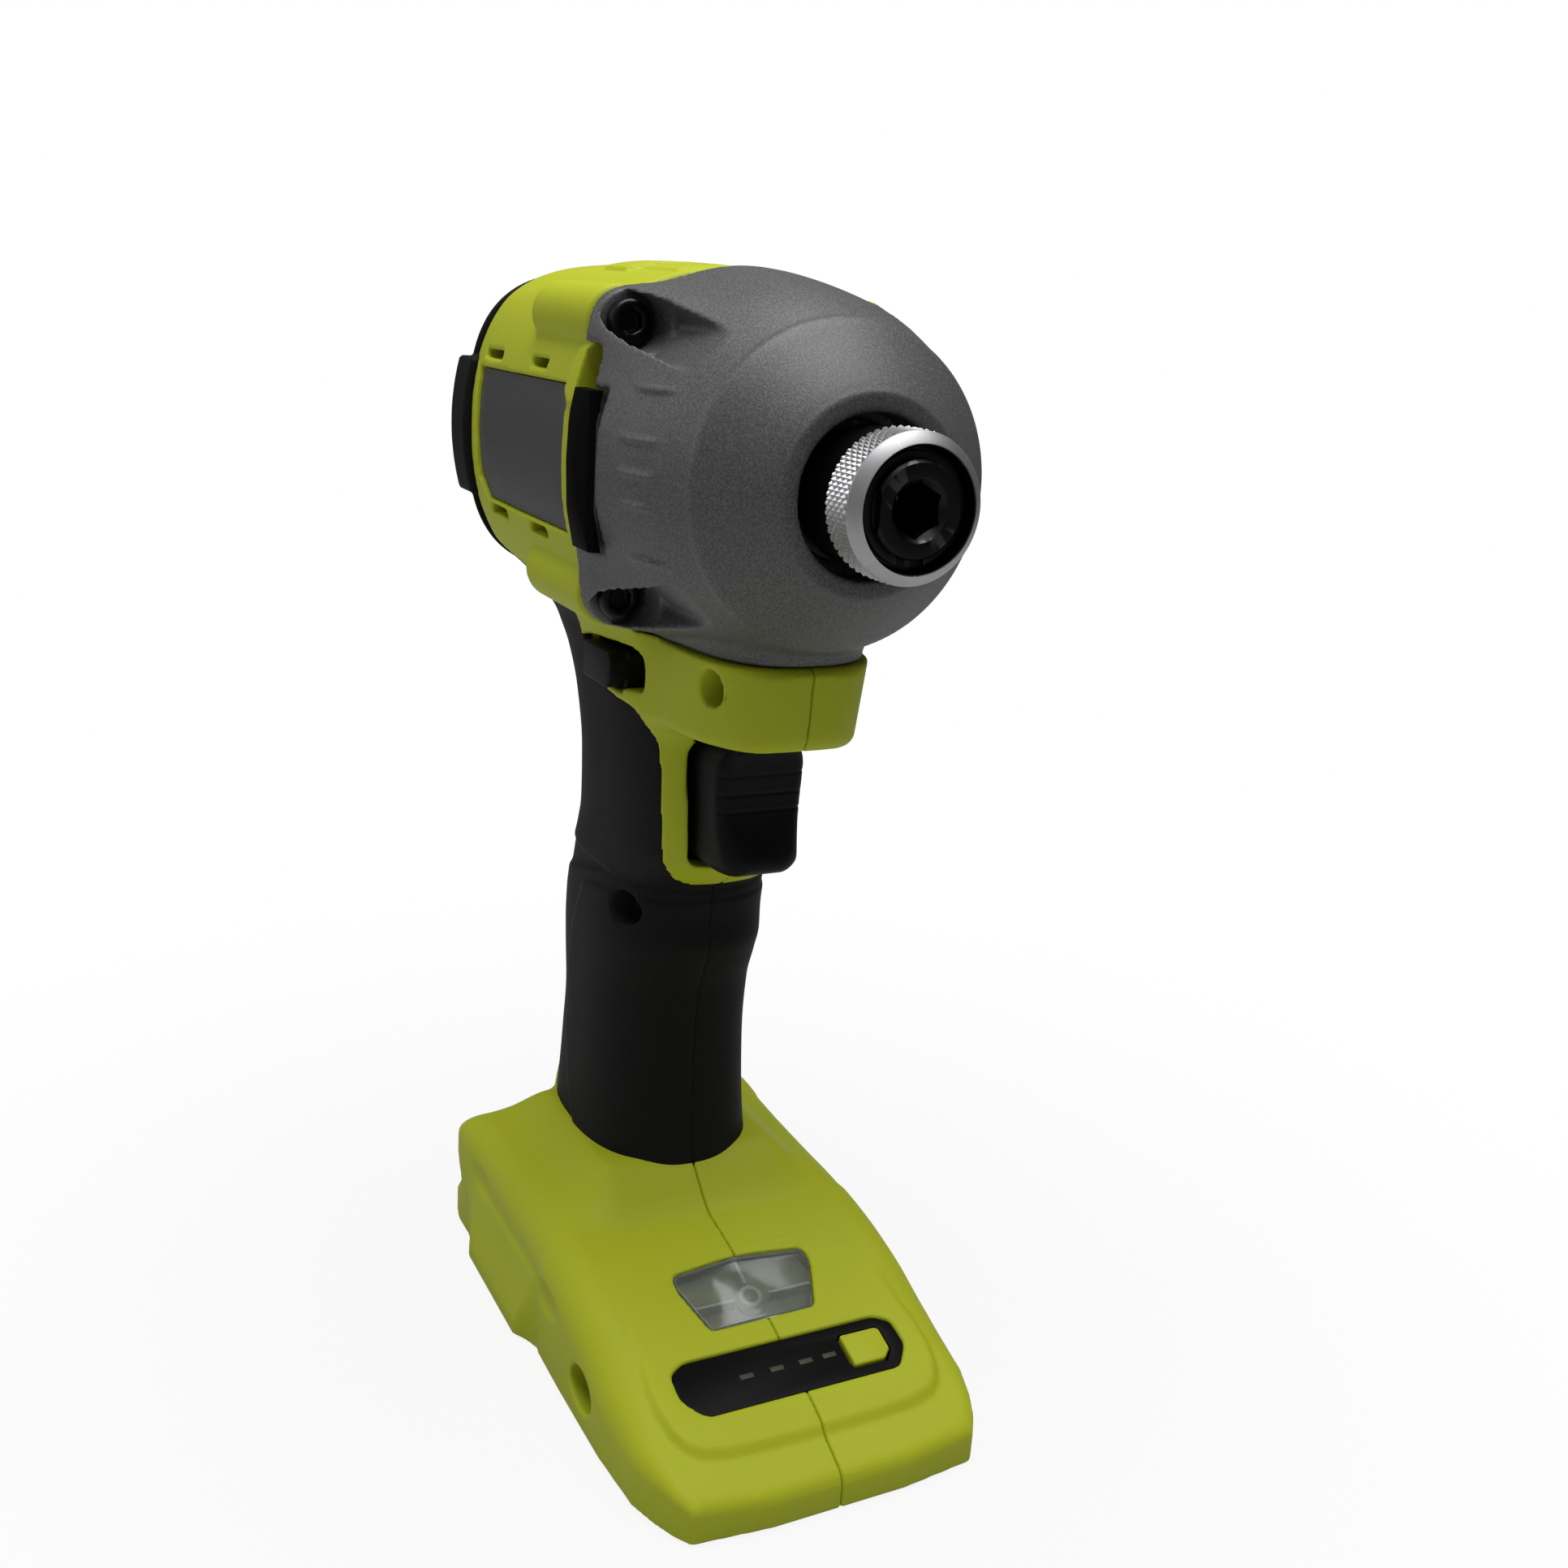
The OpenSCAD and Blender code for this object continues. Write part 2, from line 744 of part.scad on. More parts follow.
module hammer_case() {
  place() color([0.36, 0.36, 0.37]) difference() {
    union() {
      core() {
        dome_form(0);
        turned([
          [0, -11.6], [boss_r, -11.6], [boss_r + 0.7, -12], [16.6, -14.2], [20.4, -17.8], [22.3, -19.7],
          [22.9, -20.4], [22.9, -20.9], [21.6, -20.9], [21.6, -23], [0, -23]
        ]);
        tube(0, barrel_r, barrel_end_u, case_end_u + 2);
      }
      guard_form(1, -50, 122.4, 134);
    }
    core() {
      turned([
        [0, -10], [11, -10], [11, -17.5], [9.6, -17.5], [9.6, -30.2], [18.5, -30.2], [case_bore_r, -34.2],
        [case_bore_r, -90], [0, -90]
      ]);
      mirrored_y() for (s = [-1, 1]) {
        rod_x(4, ear_floor_u, -12, ear_y, axis_z + s * ear_z);
        rod_x(2.1, -60, -40, ear_y, axis_z + s * ear_z);
      }
    }
    mirrored_y() {
      block(-60, -42, head_half_w - 2.6, 40, axis_z - 13.3, axis_z + 13.3);
      block(-60, -47.5, head_half_w - 4.3, 40, axis_z + 8.7, axis_z + 16.1);
    }
  }
}

module anvil_bush() {
  place() color([0.6, 0.45, 0.2]) core() tube(7 + run_fit, 9.6 - 0.02, -29.8, -17.8);
}

module case_screw() {
  difference() {
    union() {
      rod_x(3.4, ear_floor_u + seat_gap, ear_floor_u + 3.6, 0, 0);
      rod_x(1.95, ear_floor_u - 18, ear_floor_u + 1, 0, 0);
    }
    translate([ear_floor_u + 1.8, 0, 0]) rotate([0, 90, 0]) cylinder(r = 2, h = 5, $fn = 6);
  }
}

module case_screws() {
  place() color([0.1, 0.1, 0.1]) core() for (sy = [-1, 1], sz = [-1, 1])
    translate([0, sy * ear_y, axis_z + sz * ear_z]) case_screw();
}

module housing_screw() {
  difference() {
    union() {
      rod_y(2.8, 0, 0, -8.2, -5.65);
      rod_y(1.6, 0, 0, -6, 10);
    }
    translate([0, -7.2, 0]) rotate([90, 0, 0]) cylinder(r = 1.6, h = 5, $fn = 6);
  }
}

module housing_screws() {
  place() color([0.25, 0.25, 0.26]) for (p = screw_places) translate([p[0], 0, p[1]]) housing_screw();
}

// gear train

function involute(rb, a) = [
  rb * (cos(a) + a * PI / 180 * sin(a)),
  rb * (sin(a) - a * PI / 180 * cos(a))
];

function roll_angle(rb, r) = r <= rb ? 0 : sqrt(pow(r / rb, 2) - 1) * 180 / PI;

function turn_point(p, a) = [p[0] * cos(a) - p[1] * sin(a), p[0] * sin(a) + p[1] * cos(a)];

function flank_angle(rb, r) = let (p = involute(rb, roll_angle(rb, r))) atan2(p[1], p[0]);

// half the angle that a tooth spans at radius r; thin is taken from each flank
function half_tooth(n, r, thin) = let (
  rp = gear_m * n / 2,
  rb = rp * cos(press_a)
) 90 / n - thin / rp * 180 / PI + flank_angle(rb, rp) - flank_angle(rb, max(r, rb));

function gear_outline(n, r_root, r_tip, thin) = [
  for (i = [0:n - 1], s = [-1, 1], j = [0:4])
    let (
      f = s < 0 ? j / 4 : 1 - j / 4,
      rp = gear_m * n / 2,
      rb = rp * cos(press_a),
      r = r_root + (r_tip - r_root) * f,
      a = 360 * i / n + s * half_tooth(n, r, thin)
    ) [r * cos(a), r * sin(a)]
];

sun_root = gear_m * sun_n / 2 - 1.2 * gear_m;
sun_tip = gear_m * sun_n / 2 + 0.85 * gear_m;
planet_root = gear_m * planet_n / 2 - 1.2 * gear_m;
planet_tip = gear_m * planet_n / 2 + 0.85 * gear_m;
ring_root = gear_m * ring_n / 2 + 1.2 * gear_m;
ring_tip = gear_m * ring_n / 2 - 0.85 * gear_m;

module gear_solid(outline, u0, u1) {
  on_axis() translate([0, 0, u0]) linear_extrude(u1 - u0) polygon(outline);
}

module ring_gear() {
  place() color([0.45, 0.45, 0.46]) core() difference() {
    tube(0, case_bore_r - seat_gap, -76.6, -66);
    on_axis() rotate([0, 0, 180 / ring_n]) translate([0, 0, -77]) linear_extrude(12)
      polygon(gear_outline(ring_n, ring_tip, ring_root, -flank_play));
  }
}

module planet_gear(i) {
  a = 120 * (i - 1);
  // turned so that a gap faces a sun tooth
  own = 180 + 180 / planet_n;
  place() color([0.5, 0.5, 0.52]) core() on_axis() rotate([0, 0, a]) translate([planet_off, 0, planet_u])
    rotate([0, 0, own]) difference() {
      translate([0, 0, -planet_w / 2]) linear_extrude(planet_w)
        polygon(gear_outline(planet_n, planet_root, planet_tip, flank_play));
      cylinder(r = pin_r + free_gap, h = 20, center = true);
    }
}

module planet_gear_1() {
  planet_gear(1);
}

module planet_gear_2() {
  planet_gear(2);
}

module planet_gear_3() {
  planet_gear(3);
}

module gearbox_plate() {
  place() color([0.4, 0.4, 0.42]) core() turned([
    [11 + seat_gap, -76.8], [case_bore_r - seat_gap, -76.8], [case_bore_r - seat_gap, -79.2], [13, -79.2],
    [13, -86], [6 + seat_gap, -86], [6 + seat_gap, -82], [8, -82], [8, -81.2], [11 + seat_gap, -81.2]
  ]);
}

module bearing(r0, r1, u0, u1) {
  difference() {
    tube(r0, r1, u0, u1);
    tube(r0 + (r1 - r0) * 0.38, r0 + (r1 - r0) * 0.66, u1 - 0.4, u1 + 1);
    tube(r0 + (r1 - r0) * 0.38, r0 + (r1 - r0) * 0.66, u0 - 1, u0 + 0.4);
  }
}

module spindle_bearing() {
  place() color([0.7, 0.7, 0.72]) core() bearing(7.5 + run_fit, 11, -81, -77.4);
}

module motor_bearing_front() {
  place() color([0.7, 0.7, 0.72]) core() bearing(2.5 + run_fit, 6, -85.8, -82.1);
}

module motor_bearing_rear() {
  place() color([0.7, 0.7, 0.72]) core() rear_room() bearing(2.5 + run_fit, 6, -112.4, -108.7);
}

module planet_posts(r, u0, u1) {
  for (i = [0:2]) on_axis() rotate([0, 0, 120 * i]) translate([planet_off, 0, u0])
    cylinder(r = r, h = u1 - u0);
}

module cam_spindle() {
  place() color([0.55, 0.55, 0.57]) core() difference() {
    union() {
      rod(3.4, -40.5, -33);
      rod(6.5, -66, -40);
      rod(15.6, -67.5, carrier_front_u);
      rod(15.6, -76.2, -74.4);
      rod(7.5, -80.8, -76);
      for (i = [0:2]) on_axis() rotate([0, 0, 120 * i + 60]) translate([9.6, -3, -75])
        cube([5.2, 6, 9]);
    }
    rod(5.9, -90, -67.5);
    planet_posts(pin_r, -78, -60);
    for (s = [0, 180], tilt = [-32, 32]) on_axis() rotate([0, 0, s]) translate([0, 0, -50])
      rotate([tilt, 0, 0]) rotate([0, 0, -36]) rotate_extrude(angle = 72) translate([6.7, 0]) circle(r = 2.5);
  }
}

module planet_pins() {
  place() color([0.65, 0.65, 0.66]) core() planet_posts(pin_r - 0.01, -76, -64.6);
}

module cam_balls() {
  place() color([0.75, 0.75, 0.76]) core() for (s = [-1, 1])
    translate([-50, 0, axis_z + s * 6.7]) sphere(r = 2.4);
}

module thrust_washer() {
  place() color([0.5, 0.5, 0.52]) core() tube(6.5 + seat_gap, 15, -64.3, -63.2);
}

// springs

function coil_point(r, pitch, a) = [r * cos(a), r * sin(a), pitch * a / 360];

function coil_ring(rc, rw, pitch, a, k) = let (
  c = coil_point(rc, pitch, a)
) [
  for (j = [0:k - 1]) let (b = 360 * j / k)
    [c[0] + rw * cos(b) * cos(a), c[1] + rw * cos(b) * sin(a), c[2] - rw * sin(b)]
];

module coil(rc, rw, turns, len, per) {
  pitch = (len - 2 * rw) / turns;
  loft([for (i = [0:turns * per]) coil_ring(rc, rw, pitch, i * 360 / per, 6)]);
}

hammer_spring_u0 = -63.1;
hammer_spring_u1 = -46.2;
sleeve_spring_u0 = -11.3;
sleeve_spring_u1 = -3.1;
echo(hammer_spring_gap = (hammer_spring_u1 - hammer_spring_u0 - 2 * hammer_wire_r) / hammer_turns
  - 2 * hammer_wire_r);
echo(sleeve_spring_gap = (sleeve_spring_u1 - sleeve_spring_u0 - 2 * sleeve_wire_r) / sleeve_turns
  - 2 * sleeve_wire_r);

module hammer_spring() {
  place() color([0.5, 0.5, 0.5]) core() on_axis() translate([0, 0, hammer_spring_u0 + hammer_wire_r])
    coil(hammer_coil_r, hammer_wire_r, hammer_turns, hammer_spring_u1 - hammer_spring_u0, 16);
}

module sleeve_spring() {
  place() color([0.6, 0.6, 0.6]) core() on_axis() translate([0, 0, sleeve_spring_u0 + sleeve_wire_r])
    coil(sleeve_coil_r, sleeve_wire_r, sleeve_turns, sleeve_spring_u1 - sleeve_spring_u0, 16);
}

// hammer and anvil

module hammer() {
  place() color([0.42, 0.42, 0.44]) core() difference() {
    union() {
      turned([
        [6.5 + free_gap, -41], [hammer_r - 1, -41], [hammer_r, -42], [hammer_r, hammer_back_u + 0.8],
        [hammer_r - 0.8, hammer_back_u], [15.4, hammer_back_u], [15.4, -46], [9.4, -46], [9.4, -54],
        [6.5 + free_gap, -54]
      ]);
      intersection() {
        tube(10, 17.2, -41.5, -34.9);
        block(-60, -30, -5, 5, axis_z - 20, axis_z + 20);
      }
    }
    for (s = [-1, 1]) {
      rod_x(2.75, -52.8, -30, 0, axis_z + s * 6.7);
      translate([-52.8, 0, axis_z + s * 6.7]) sphere(r = 2.75);
    }
  }
}

module anvil() {
  place() color([0.16, 0.16, 0.17]) difference() {
    core() difference() {
      union() {
        turned([
          [0, 0], [anvil_r - 0.4, 0], [anvil_r, -0.4], [anvil_r, -16], [7, -16.6], [7, -30.4], [9.2, -30.8],
          [9.2, -39.4], [0, -39.4]
        ]);
        intersection() {
          tube(0, 17.2, -38.4, -31.6);
          block(-60, -20, -20, 20, axis_z - 4.6, axis_z + 4.6);
        }
      }
      turned([[0, 0.1], [4.25, 0.1], [3.2, -1], [0, -1]]);
      tube(5.9, 9, -1.95, -1.25);
      rod(3.4 + run_fit, -40, -32.2);
      rod_y(2.06, -13, axis_z, -10, 10);
      block(-1.1, 1, -10, -5.7, axis_z - 10, axis_z + 10);
    }
    on_axis() translate([0, 0, -hex_deep]) cylinder(r = hex_af / 2 / cos(30), h = hex_deep + 1, $fn = 6);
  }
}

module bit_balls() {
  place() color([0.75, 0.75, 0.76]) core() for (s = [-1, 1]) translate([-13, s * 4.45, axis_z]) sphere(r = 2);
}

module sleeve_washer() {
  place() color([0.12, 0.12, 0.12]) core() tube(anvil_r + seat_gap, 7.8, -2.95, -2);
}

module sleeve_clip() {
  place() color([0.1, 0.1, 0.1]) core() difference() {
    tube(5.95, 7.4, -1.9, -1.3);
    block(-3, 0, -2, 2, axis_z - 9, axis_z);
  }
}

module bit_sleeve() {
  place() color([0.75, 0.75, 0.77]) core() turned([
    [8.1, -0.5], [8.5, -0.1], [sleeve_r - 0.7, -0.1], [sleeve_r, -0.8], [sleeve_r, -knurl_len],
    [sleeve_r - 0.6, -knurl_len - 0.5], [sleeve_r - 0.6, -14.9], [anvil_r + free_gap - 0.05, -14.9],
    [anvil_r + free_gap - 0.05, -11.5], [8.1, -11.5]
  ]);
}

// motor

module motor_shaft() {
  place() color([0.6, 0.6, 0.62]) core() union() {
    gear_solid(gear_outline(sun_n, sun_root, sun_tip, flank_play), -75, -68);
    rod(sun_root - 0.05, -81.6, -74);
    rod(2.5, rear(-112.2), -80);
  }
}

module rotor_core() {
  place() color([0.3, 0.3, 0.31]) core() rear_room() difference() {
    tube(2.5 + 0.01, 11.2, -106, -93);
    for (i = [0:3]) on_axis() rotate([0, 0, 90 * i + 45]) translate([7.4, 0, -110])
      cylinder(r = 1.4, h = 30);
  }
}

module cooling_fan() {
  place() color([0.15, 0.15, 0.16]) core() rear_room() union() {
    tube(2.5 + 0.01, 5.5, -91.6, -87);
    tube(5, 19.6, -91.6, -90.6);
    for (i = [0:8]) on_axis() rotate([0, 0, 40 * i]) translate([7, -0.5, -90.8]) cube([12.2, 1, 3.4]);
  }
}

module stator_core() {
  place() color([0.35, 0.35, 0.36]) core() rear_room() union() {
    tube(20, motor_bay_r - seat_gap, -106, -93);
    for (i = [0:5]) on_axis() rotate([0, 0, 60 * i]) difference() {
      union() {
        translate([13, -2.2, -106]) cube([8, 4.4, 13]);
        translate([11.6, -5, -106]) cube([2.2, 10, 13]);
      }
      translate([0, 0, -107]) cylinder(r = 11.6 + free_gap - 0.05, h = 20);
    }
  }
}

module stator_coils() {
  place() color([0.6, 0.32, 0.12]) core() rear_room() for (i = [0:5])
    on_axis() rotate([0, 0, 60 * i]) difference() {
    translate([14.1, -4.2, -106.5]) cube([5.2, 8.4, 14]);
    translate([10, -2.25, -106.05]) cube([14, 4.5, 13.1]);
  }
}

module sensor_board() {
  place() color([0.1, 0.3, 0.15]) core() rear_room() tube(6.4, 17.8, -108.3, -106.8);
}

// switch, wiring block and boards

module switch_body() {
  place() color([0.12, 0.12, 0.13]) difference() {
    union() {
      translate([0, 0, 83.7]) linear_extrude(23.5) polygon([
        [-84, 6.4], [-79.4, 9.2], [switch_front_u, 9.2], [switch_front_u, -9.2], [-79.4, -9.2], [-84, -6.4]
      ]);
      block(-80, -66, -6, 6, 107, 109.6);
    }
    rod_x(2.3 + free_gap, -78, -55, 0, 96);
    block(-90, -60, -20, -8.4, 98, 100);
    block(-90, -60, 8.4, 20, 98, 100);
  }
}

module trigger() {
  z0 = trigger_z0;
  z1 = trigger_z1;
  place() color([0.07, 0.07, 0.075]) difference() {
    intersection() {
      side_shape([
        [-29.4, z1], [-29.4, z1 - 0.7], [-33.6, z1 - 1.1], [-34.9, z1 - 4], [-36.6, z1 - 9],
        [-36.9, z1 - 12.5], [-36, z1 - 16.4], [-33.8, z0 + 1.8], [-34, z0 + 0.5], [-35.6, z0],
        [trigger_back_u, z0], [trigger_back_u, z1]
      ], -20, 20);
      translate([0, 0, 60]) linear_extrude(80) polygon([
        [-53, -trigger_half_w], [-41, -trigger_half_w], [-37.4, -trigger_half_w + 1.2],
        [-33.2, -trigger_half_w + 3.4], [-29.2, -2.4], [-29.2, 2.4], [-33.2, trigger_half_w - 3.4],
        [-37.4, trigger_half_w - 1.2], [-41, trigger_half_w], [-53, trigger_half_w]
      ]);
    }
    block(-60, -39.5, -trigger_half_w + 2, trigger_half_w - 2, z0 + 2, z1 - 2);
  }
}

module trigger_plunger() {
  place() color([0.2, 0.2, 0.21]) union() {
    rod_x(2.3, -70.5, -39.5 - seat_gap, 0, 96);
    rod_x(4.4, -42.5, -39.5 - seat_gap, 0, 96);
  }
}

module direction_selector() {
  place() color([0.09, 0.09, 0.095]) union() {
    block(selector_u - 6, selector_u + 6, -15, 15, selector_z - 2.8, selector_z + 2.8);
    mirrored_y() side_shape([
      [selector_u - 6, selector_z - 2.8], [selector_u + 4.4, selector_z - 2.8],
      [selector_u + 6, selector_z - 1], [selector_u + 6, selector_z + 1.6],
      [selector_u + 4.8, selector_z + 2.8], [selector_u - 6, selector_z + 2.8]
    ], 14, selector_len);
  }
}

module control_board() {
  place() color([0.1, 0.3, 0.15]) on_slope(panel_u) translate([-6, -17, -6.2]) cube([12, 34, 1.5]);
}

module terminal_block() {
  place() color([0.15, 0.15, 0.16]) translate([0, 0, 56.2]) linear_extrude(6)
    polygon([for (p = oval(15, 10, 2.6, 28)) [p[0] - 75.6, p[1]]]);
}

module terminal_blades() {
  place() color([0.75, 0.65, 0.35]) for (u = [-85.4, -75.6, -65.8])
    block(u - 3, u + 3, -0.5, 0.5, 40, 56.1);
}

module lamp_lens() {
  place() color([0.85, 0.88, 0.88]) on_slope(lens_u) translate([0, 0, -2.4]) linear_extrude(2.2) lens_plan(0);
}

module lamp_led() {
  place() color([0.9, 0.85, 0.5]) on_slope(lens_u) union() {
    translate([-5, -4.5, -5.4]) cube([10, 9, 1.4]);
    translate([0, 0, -4.2]) cylinder(r = 2.4, h = 0.7);
    intersection() {
      translate([0, 0, -4.8]) sphere(r = 2.1);
      translate([-3, -3, -4.4]) cube([6, 6, 3]);
    }
  }
}

module button_plan(gap) {
  polygon([
    [-3 - gap, 10 - gap], [-2.4, 9.4 - gap], [2.2, 9.4 - gap], [2.9 + gap, 10 - gap], [2.9 + gap, 15 + gap],
    [1.4, 16.6 + gap], [-2.4, 16.6 + gap], [-3 - gap, 16 + gap]
  ]);
}

module mode_panel() {
  place() color([0.06, 0.06, 0.065]) on_slope(panel_u) difference() {
    union() {
      translate([0, 0, -2.4]) linear_extrude(1.9) panel_plan(0);
      for (y = [-14, 4]) translate([0, y, -4.65]) cylinder(r = 1.6, h = 3);
    }
    translate([0, 0, -8]) linear_extrude(20) button_plan(free_gap);
  }
}

module mode_button() {
  place() color([0.62, 0.66, 0.14]) on_slope(panel_u) translate([0, 0, -3.7])
    linear_extrude(3.7) button_plan(0);
}

// draw the asked node or all of them

housing_right();
housing_left();
grip_right();
grip_left();
rear_bumper_right();
rear_bumper_left();
side_bumper_right();
side_bumper_left();
spec_plate();
hammer_case();
anvil_bush();
case_screws();
housing_screws();
ring_gear();
gearbox_plate();
spindle_bearing();
motor_bearing_front();
motor_bearing_rear();
stator_core();
stator_coils();
sensor_board();
switch_body();
control_board();
terminal_block();
terminal_blades();
lamp_lens();
lamp_led();
mode_panel();
motor_shaft();
rotor_core();
cooling_fan();
cam_spindle();
planet_pins();
cam_balls();
thrust_washer();
hammer_spring();
planet_gear_1();
planet_gear_2();
planet_gear_3();
hammer();
anvil();
bit_balls();
sleeve_spring();
sleeve_washer();
sleeve_clip();
bit_sleeve();
trigger();
trigger_plunger();
direction_selector();
mode_button();
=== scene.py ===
"""Looks of a compact impact driver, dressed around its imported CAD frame.

Lengths in the forms are millimetres along u, y and z: u runs along the spindle and is 0 at the
front face of the anvil, z is the height above the underside of the foot. They become metres of the
row frame when a mesh is made.
"""
import json
import logging
import math
from dataclasses import dataclass, field
from enum import Enum
from functools import reduce
from typing import Any, Optional, Sequence, Union

import bpy
import numpy as np
from mathutils import Matrix, Vector


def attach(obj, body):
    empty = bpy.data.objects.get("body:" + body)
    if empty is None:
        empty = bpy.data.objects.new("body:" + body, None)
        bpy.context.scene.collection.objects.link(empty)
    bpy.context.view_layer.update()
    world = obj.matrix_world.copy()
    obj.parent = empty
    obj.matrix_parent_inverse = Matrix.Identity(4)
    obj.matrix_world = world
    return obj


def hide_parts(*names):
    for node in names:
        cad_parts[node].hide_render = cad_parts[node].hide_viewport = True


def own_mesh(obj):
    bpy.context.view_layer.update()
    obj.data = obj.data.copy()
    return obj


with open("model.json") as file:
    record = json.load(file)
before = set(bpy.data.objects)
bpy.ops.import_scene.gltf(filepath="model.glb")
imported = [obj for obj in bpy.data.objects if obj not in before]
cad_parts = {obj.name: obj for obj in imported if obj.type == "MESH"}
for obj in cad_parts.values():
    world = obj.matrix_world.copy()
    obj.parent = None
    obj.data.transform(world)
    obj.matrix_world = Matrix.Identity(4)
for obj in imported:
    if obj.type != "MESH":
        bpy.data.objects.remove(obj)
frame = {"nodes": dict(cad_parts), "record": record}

LOG = logging.getLogger("impact_driver")
Array = np.ndarray
Points = Sequence[tuple[float, float]]
Span = tuple[float, float]
Rows = tuple[tuple[float, ...], ...]
Colour = tuple[float, float, float]
Place = tuple[float, float, float]
U_TO_X = 56.8
AXIS_Z = 147.2
MM = 0.001
PAST_MIDDLE = 0.9
WELL_INSIDE = -50.0
BOXY = np.float32(2.6)


class Body(str, Enum):
    """CAD bodies that pieces ride on."""

    CASE = "case"
    ANVIL = "anvil"
    SLEEVE = "sleeve"
    TRIGGER = "trigger"
    BUTTON = "mode_button"
    CAM = "cam"


class Side(Enum):
    """Sides of the tool, by the sign of y."""

    RIGHT = -1
    LEFT = 1

    def named(self, stem: str) -> str:
        """Name of a node that this side has its own half of."""
        return f"{stem}_{self.name.lower()}"

    def span(self, reach: float) -> Span:
        """Range of y that holds this side's half, a little past the middle."""
        return (-reach, PAST_MIDDLE) if self is Side.RIGHT else (-PAST_MIDDLE, reach)


# Shader maths


class Sock:
    """A shader socket that plain Python maths can be written with."""

    def __init__(self, tree: "Tree", out: bpy.types.NodeSocket) -> None:
        """Keep the tree and the output socket."""
        self.tree = tree
        self.out = out

    def _math(self, operation: str, *values: Any) -> "Sock":
        """Add a Math node.

        Args:
            operation: name of the Math operation.
            values: sockets or numbers for its inputs.

        Returns:
            The result as a socket.
        """
        return self.tree.node("ShaderNodeMath", {"operation": operation}, dict(enumerate(values)))

    def __add__(self, other: Any) -> "Sock":
        """Sum of two values."""
        return self._math("ADD", self, other)

    def __radd__(self, other: Any) -> "Sock":
        """Sum with a number on the left."""
        return self._math("ADD", other, self)

    def __mul__(self, other: Any) -> "Sock":
        """Product of two values."""
        return self._math("MULTIPLY", self, other)

    def step(self, low: float, high: float, to_low: float = 0.0, to_high: float = 1.0) -> "Sock":
        """Smooth step of this value.

        Args:
            low: value where the step begins.
            high: value where it ends.
            to_low: result below the step.
            to_high: result above it.

        Returns:
            The stepped value.
        """
        settings = {"interpolation_type": "SMOOTHSTEP"}
        values = {"Value": self, "From Min": low, "From Max": high, "To Min": to_low, "To Max": to_high}
        return self.tree.node("ShaderNodeMapRange", settings, values)


class Tree:
    """Node tree of one material, with one method that makes any node."""

    def __init__(self, name: str) -> None:
        """Make an empty material of that name."""
        self.material = bpy.data.materials.new(name)
        self.material.use_nodes = True
        self.nodes = self.material.node_tree.nodes
        self.nodes.clear()

    def node(
        self,
        kind: str,
        settings: Optional[dict[str, Any]] = None,
        inputs: Optional[dict[Any, Any]] = None,
        output: Union[int, str] = 0,
    ) -> Sock:
        """Make a node.

        Args:
            kind: Blender's type of the node.
            settings: properties of the node, set before its sockets; "stops" fills a colour ramp.
            inputs: values or sockets by the input's name or place.
            output: name or place of the output that is returned.

        Returns:
            The output as a socket.
        """
        made = self.nodes.new(kind)
        for key, value in (settings or {}).items():
            if key == "stops":
                self._stops(made, value)
            else:
                setattr(made, key, value)
        for key, value in (inputs or {}).items():
            self.put(made.inputs[key], value)
        outs = made.outputs
        return Sock(self, outs[output] if len(outs) else made.inputs[0])

    @staticmethod
    def _stops(ramp: bpy.types.Node, stops: Sequence[tuple[float, Sequence[float]]]) -> None:
        """Fill a colour ramp with places and colours."""
        elements = ramp.color_ramp.elements
        while len(elements) < len(stops):
            elements.new(0.5)
        for element, (place, colour) in zip(elements, stops):
            element.position = place
            element.color = (*colour, 1.0)

    def put(self, socket: bpy.types.NodeSocket, value: Any) -> None:
        """Set a socket's value, or link it when the value is a socket."""
        if isinstance(value, Sock):
            self.material.node_tree.links.new(value.out, socket)
        else:
            socket.default_value = value

    def place(self) -> Sock:
        """Place on the piece in metres, from the object's own axes."""
        return self.node("ShaderNodeTexCoord", output="Object")

    def noise(self, scale: float, detail: float = 3.0, rough: float = 0.5, at: Optional[Sock] = None) -> Sock:
        """Noise value.

        Args:
            scale: features in a metre.
            detail: octaves.
            rough: weight of the finer octaves.
            at: place to read it at, or None for the object's own.

        Returns:
            The noise, from 0 to 1.
        """
        values = {"Vector": at or self.place(), "Scale": scale, "Detail": detail, "Roughness": rough}
        return self.node("ShaderNodeTexNoise", None, values)

    def mix(self, share: Any, first: Any, second: Any) -> Sock:
        """Mix of two colours by a share."""
        made = self.nodes.new("ShaderNodeMix")
        made.data_type = "RGBA"
        for key, value in zip((0, 6, 7), (share, first, second)):
            self.put(made.inputs[key], value)
        return Sock(self, made.outputs[2])

    def bump(self, height: Sock, strength: float, depth: float) -> Sock:
        """Bumped normal.

        Args:
            height: the height value.
            strength: share of the effect.
            depth: real depth in metres.

        Returns:
            The normal.
        """
        values = {"Height": height, "Strength": strength, "Distance": depth}
        return self.node("ShaderNodeBump", None, values)

    def finish(self, **inputs: Any) -> bpy.types.Material:
        """Close the tree with a Principled shader.

        Args:
            inputs: its inputs, with underscores in place of the spaces of their names.

        Returns:
            The finished material.
        """
        named = {key.replace("_", " "): value for key, value in inputs.items()}
        shader = self.node("ShaderNodeBsdfPrincipled", None, named)
        self.node("ShaderNodeOutputMaterial", None, {"Surface": shader})
        return self.material


def rgba(colour: Colour, gain: float = 1.0) -> tuple[float, float, float, float]:
    """Colour with a gain and full alpha."""
    return (colour[0] * gain, colour[1] * gain, colour[2] * gain, 1.0)


# Finishes


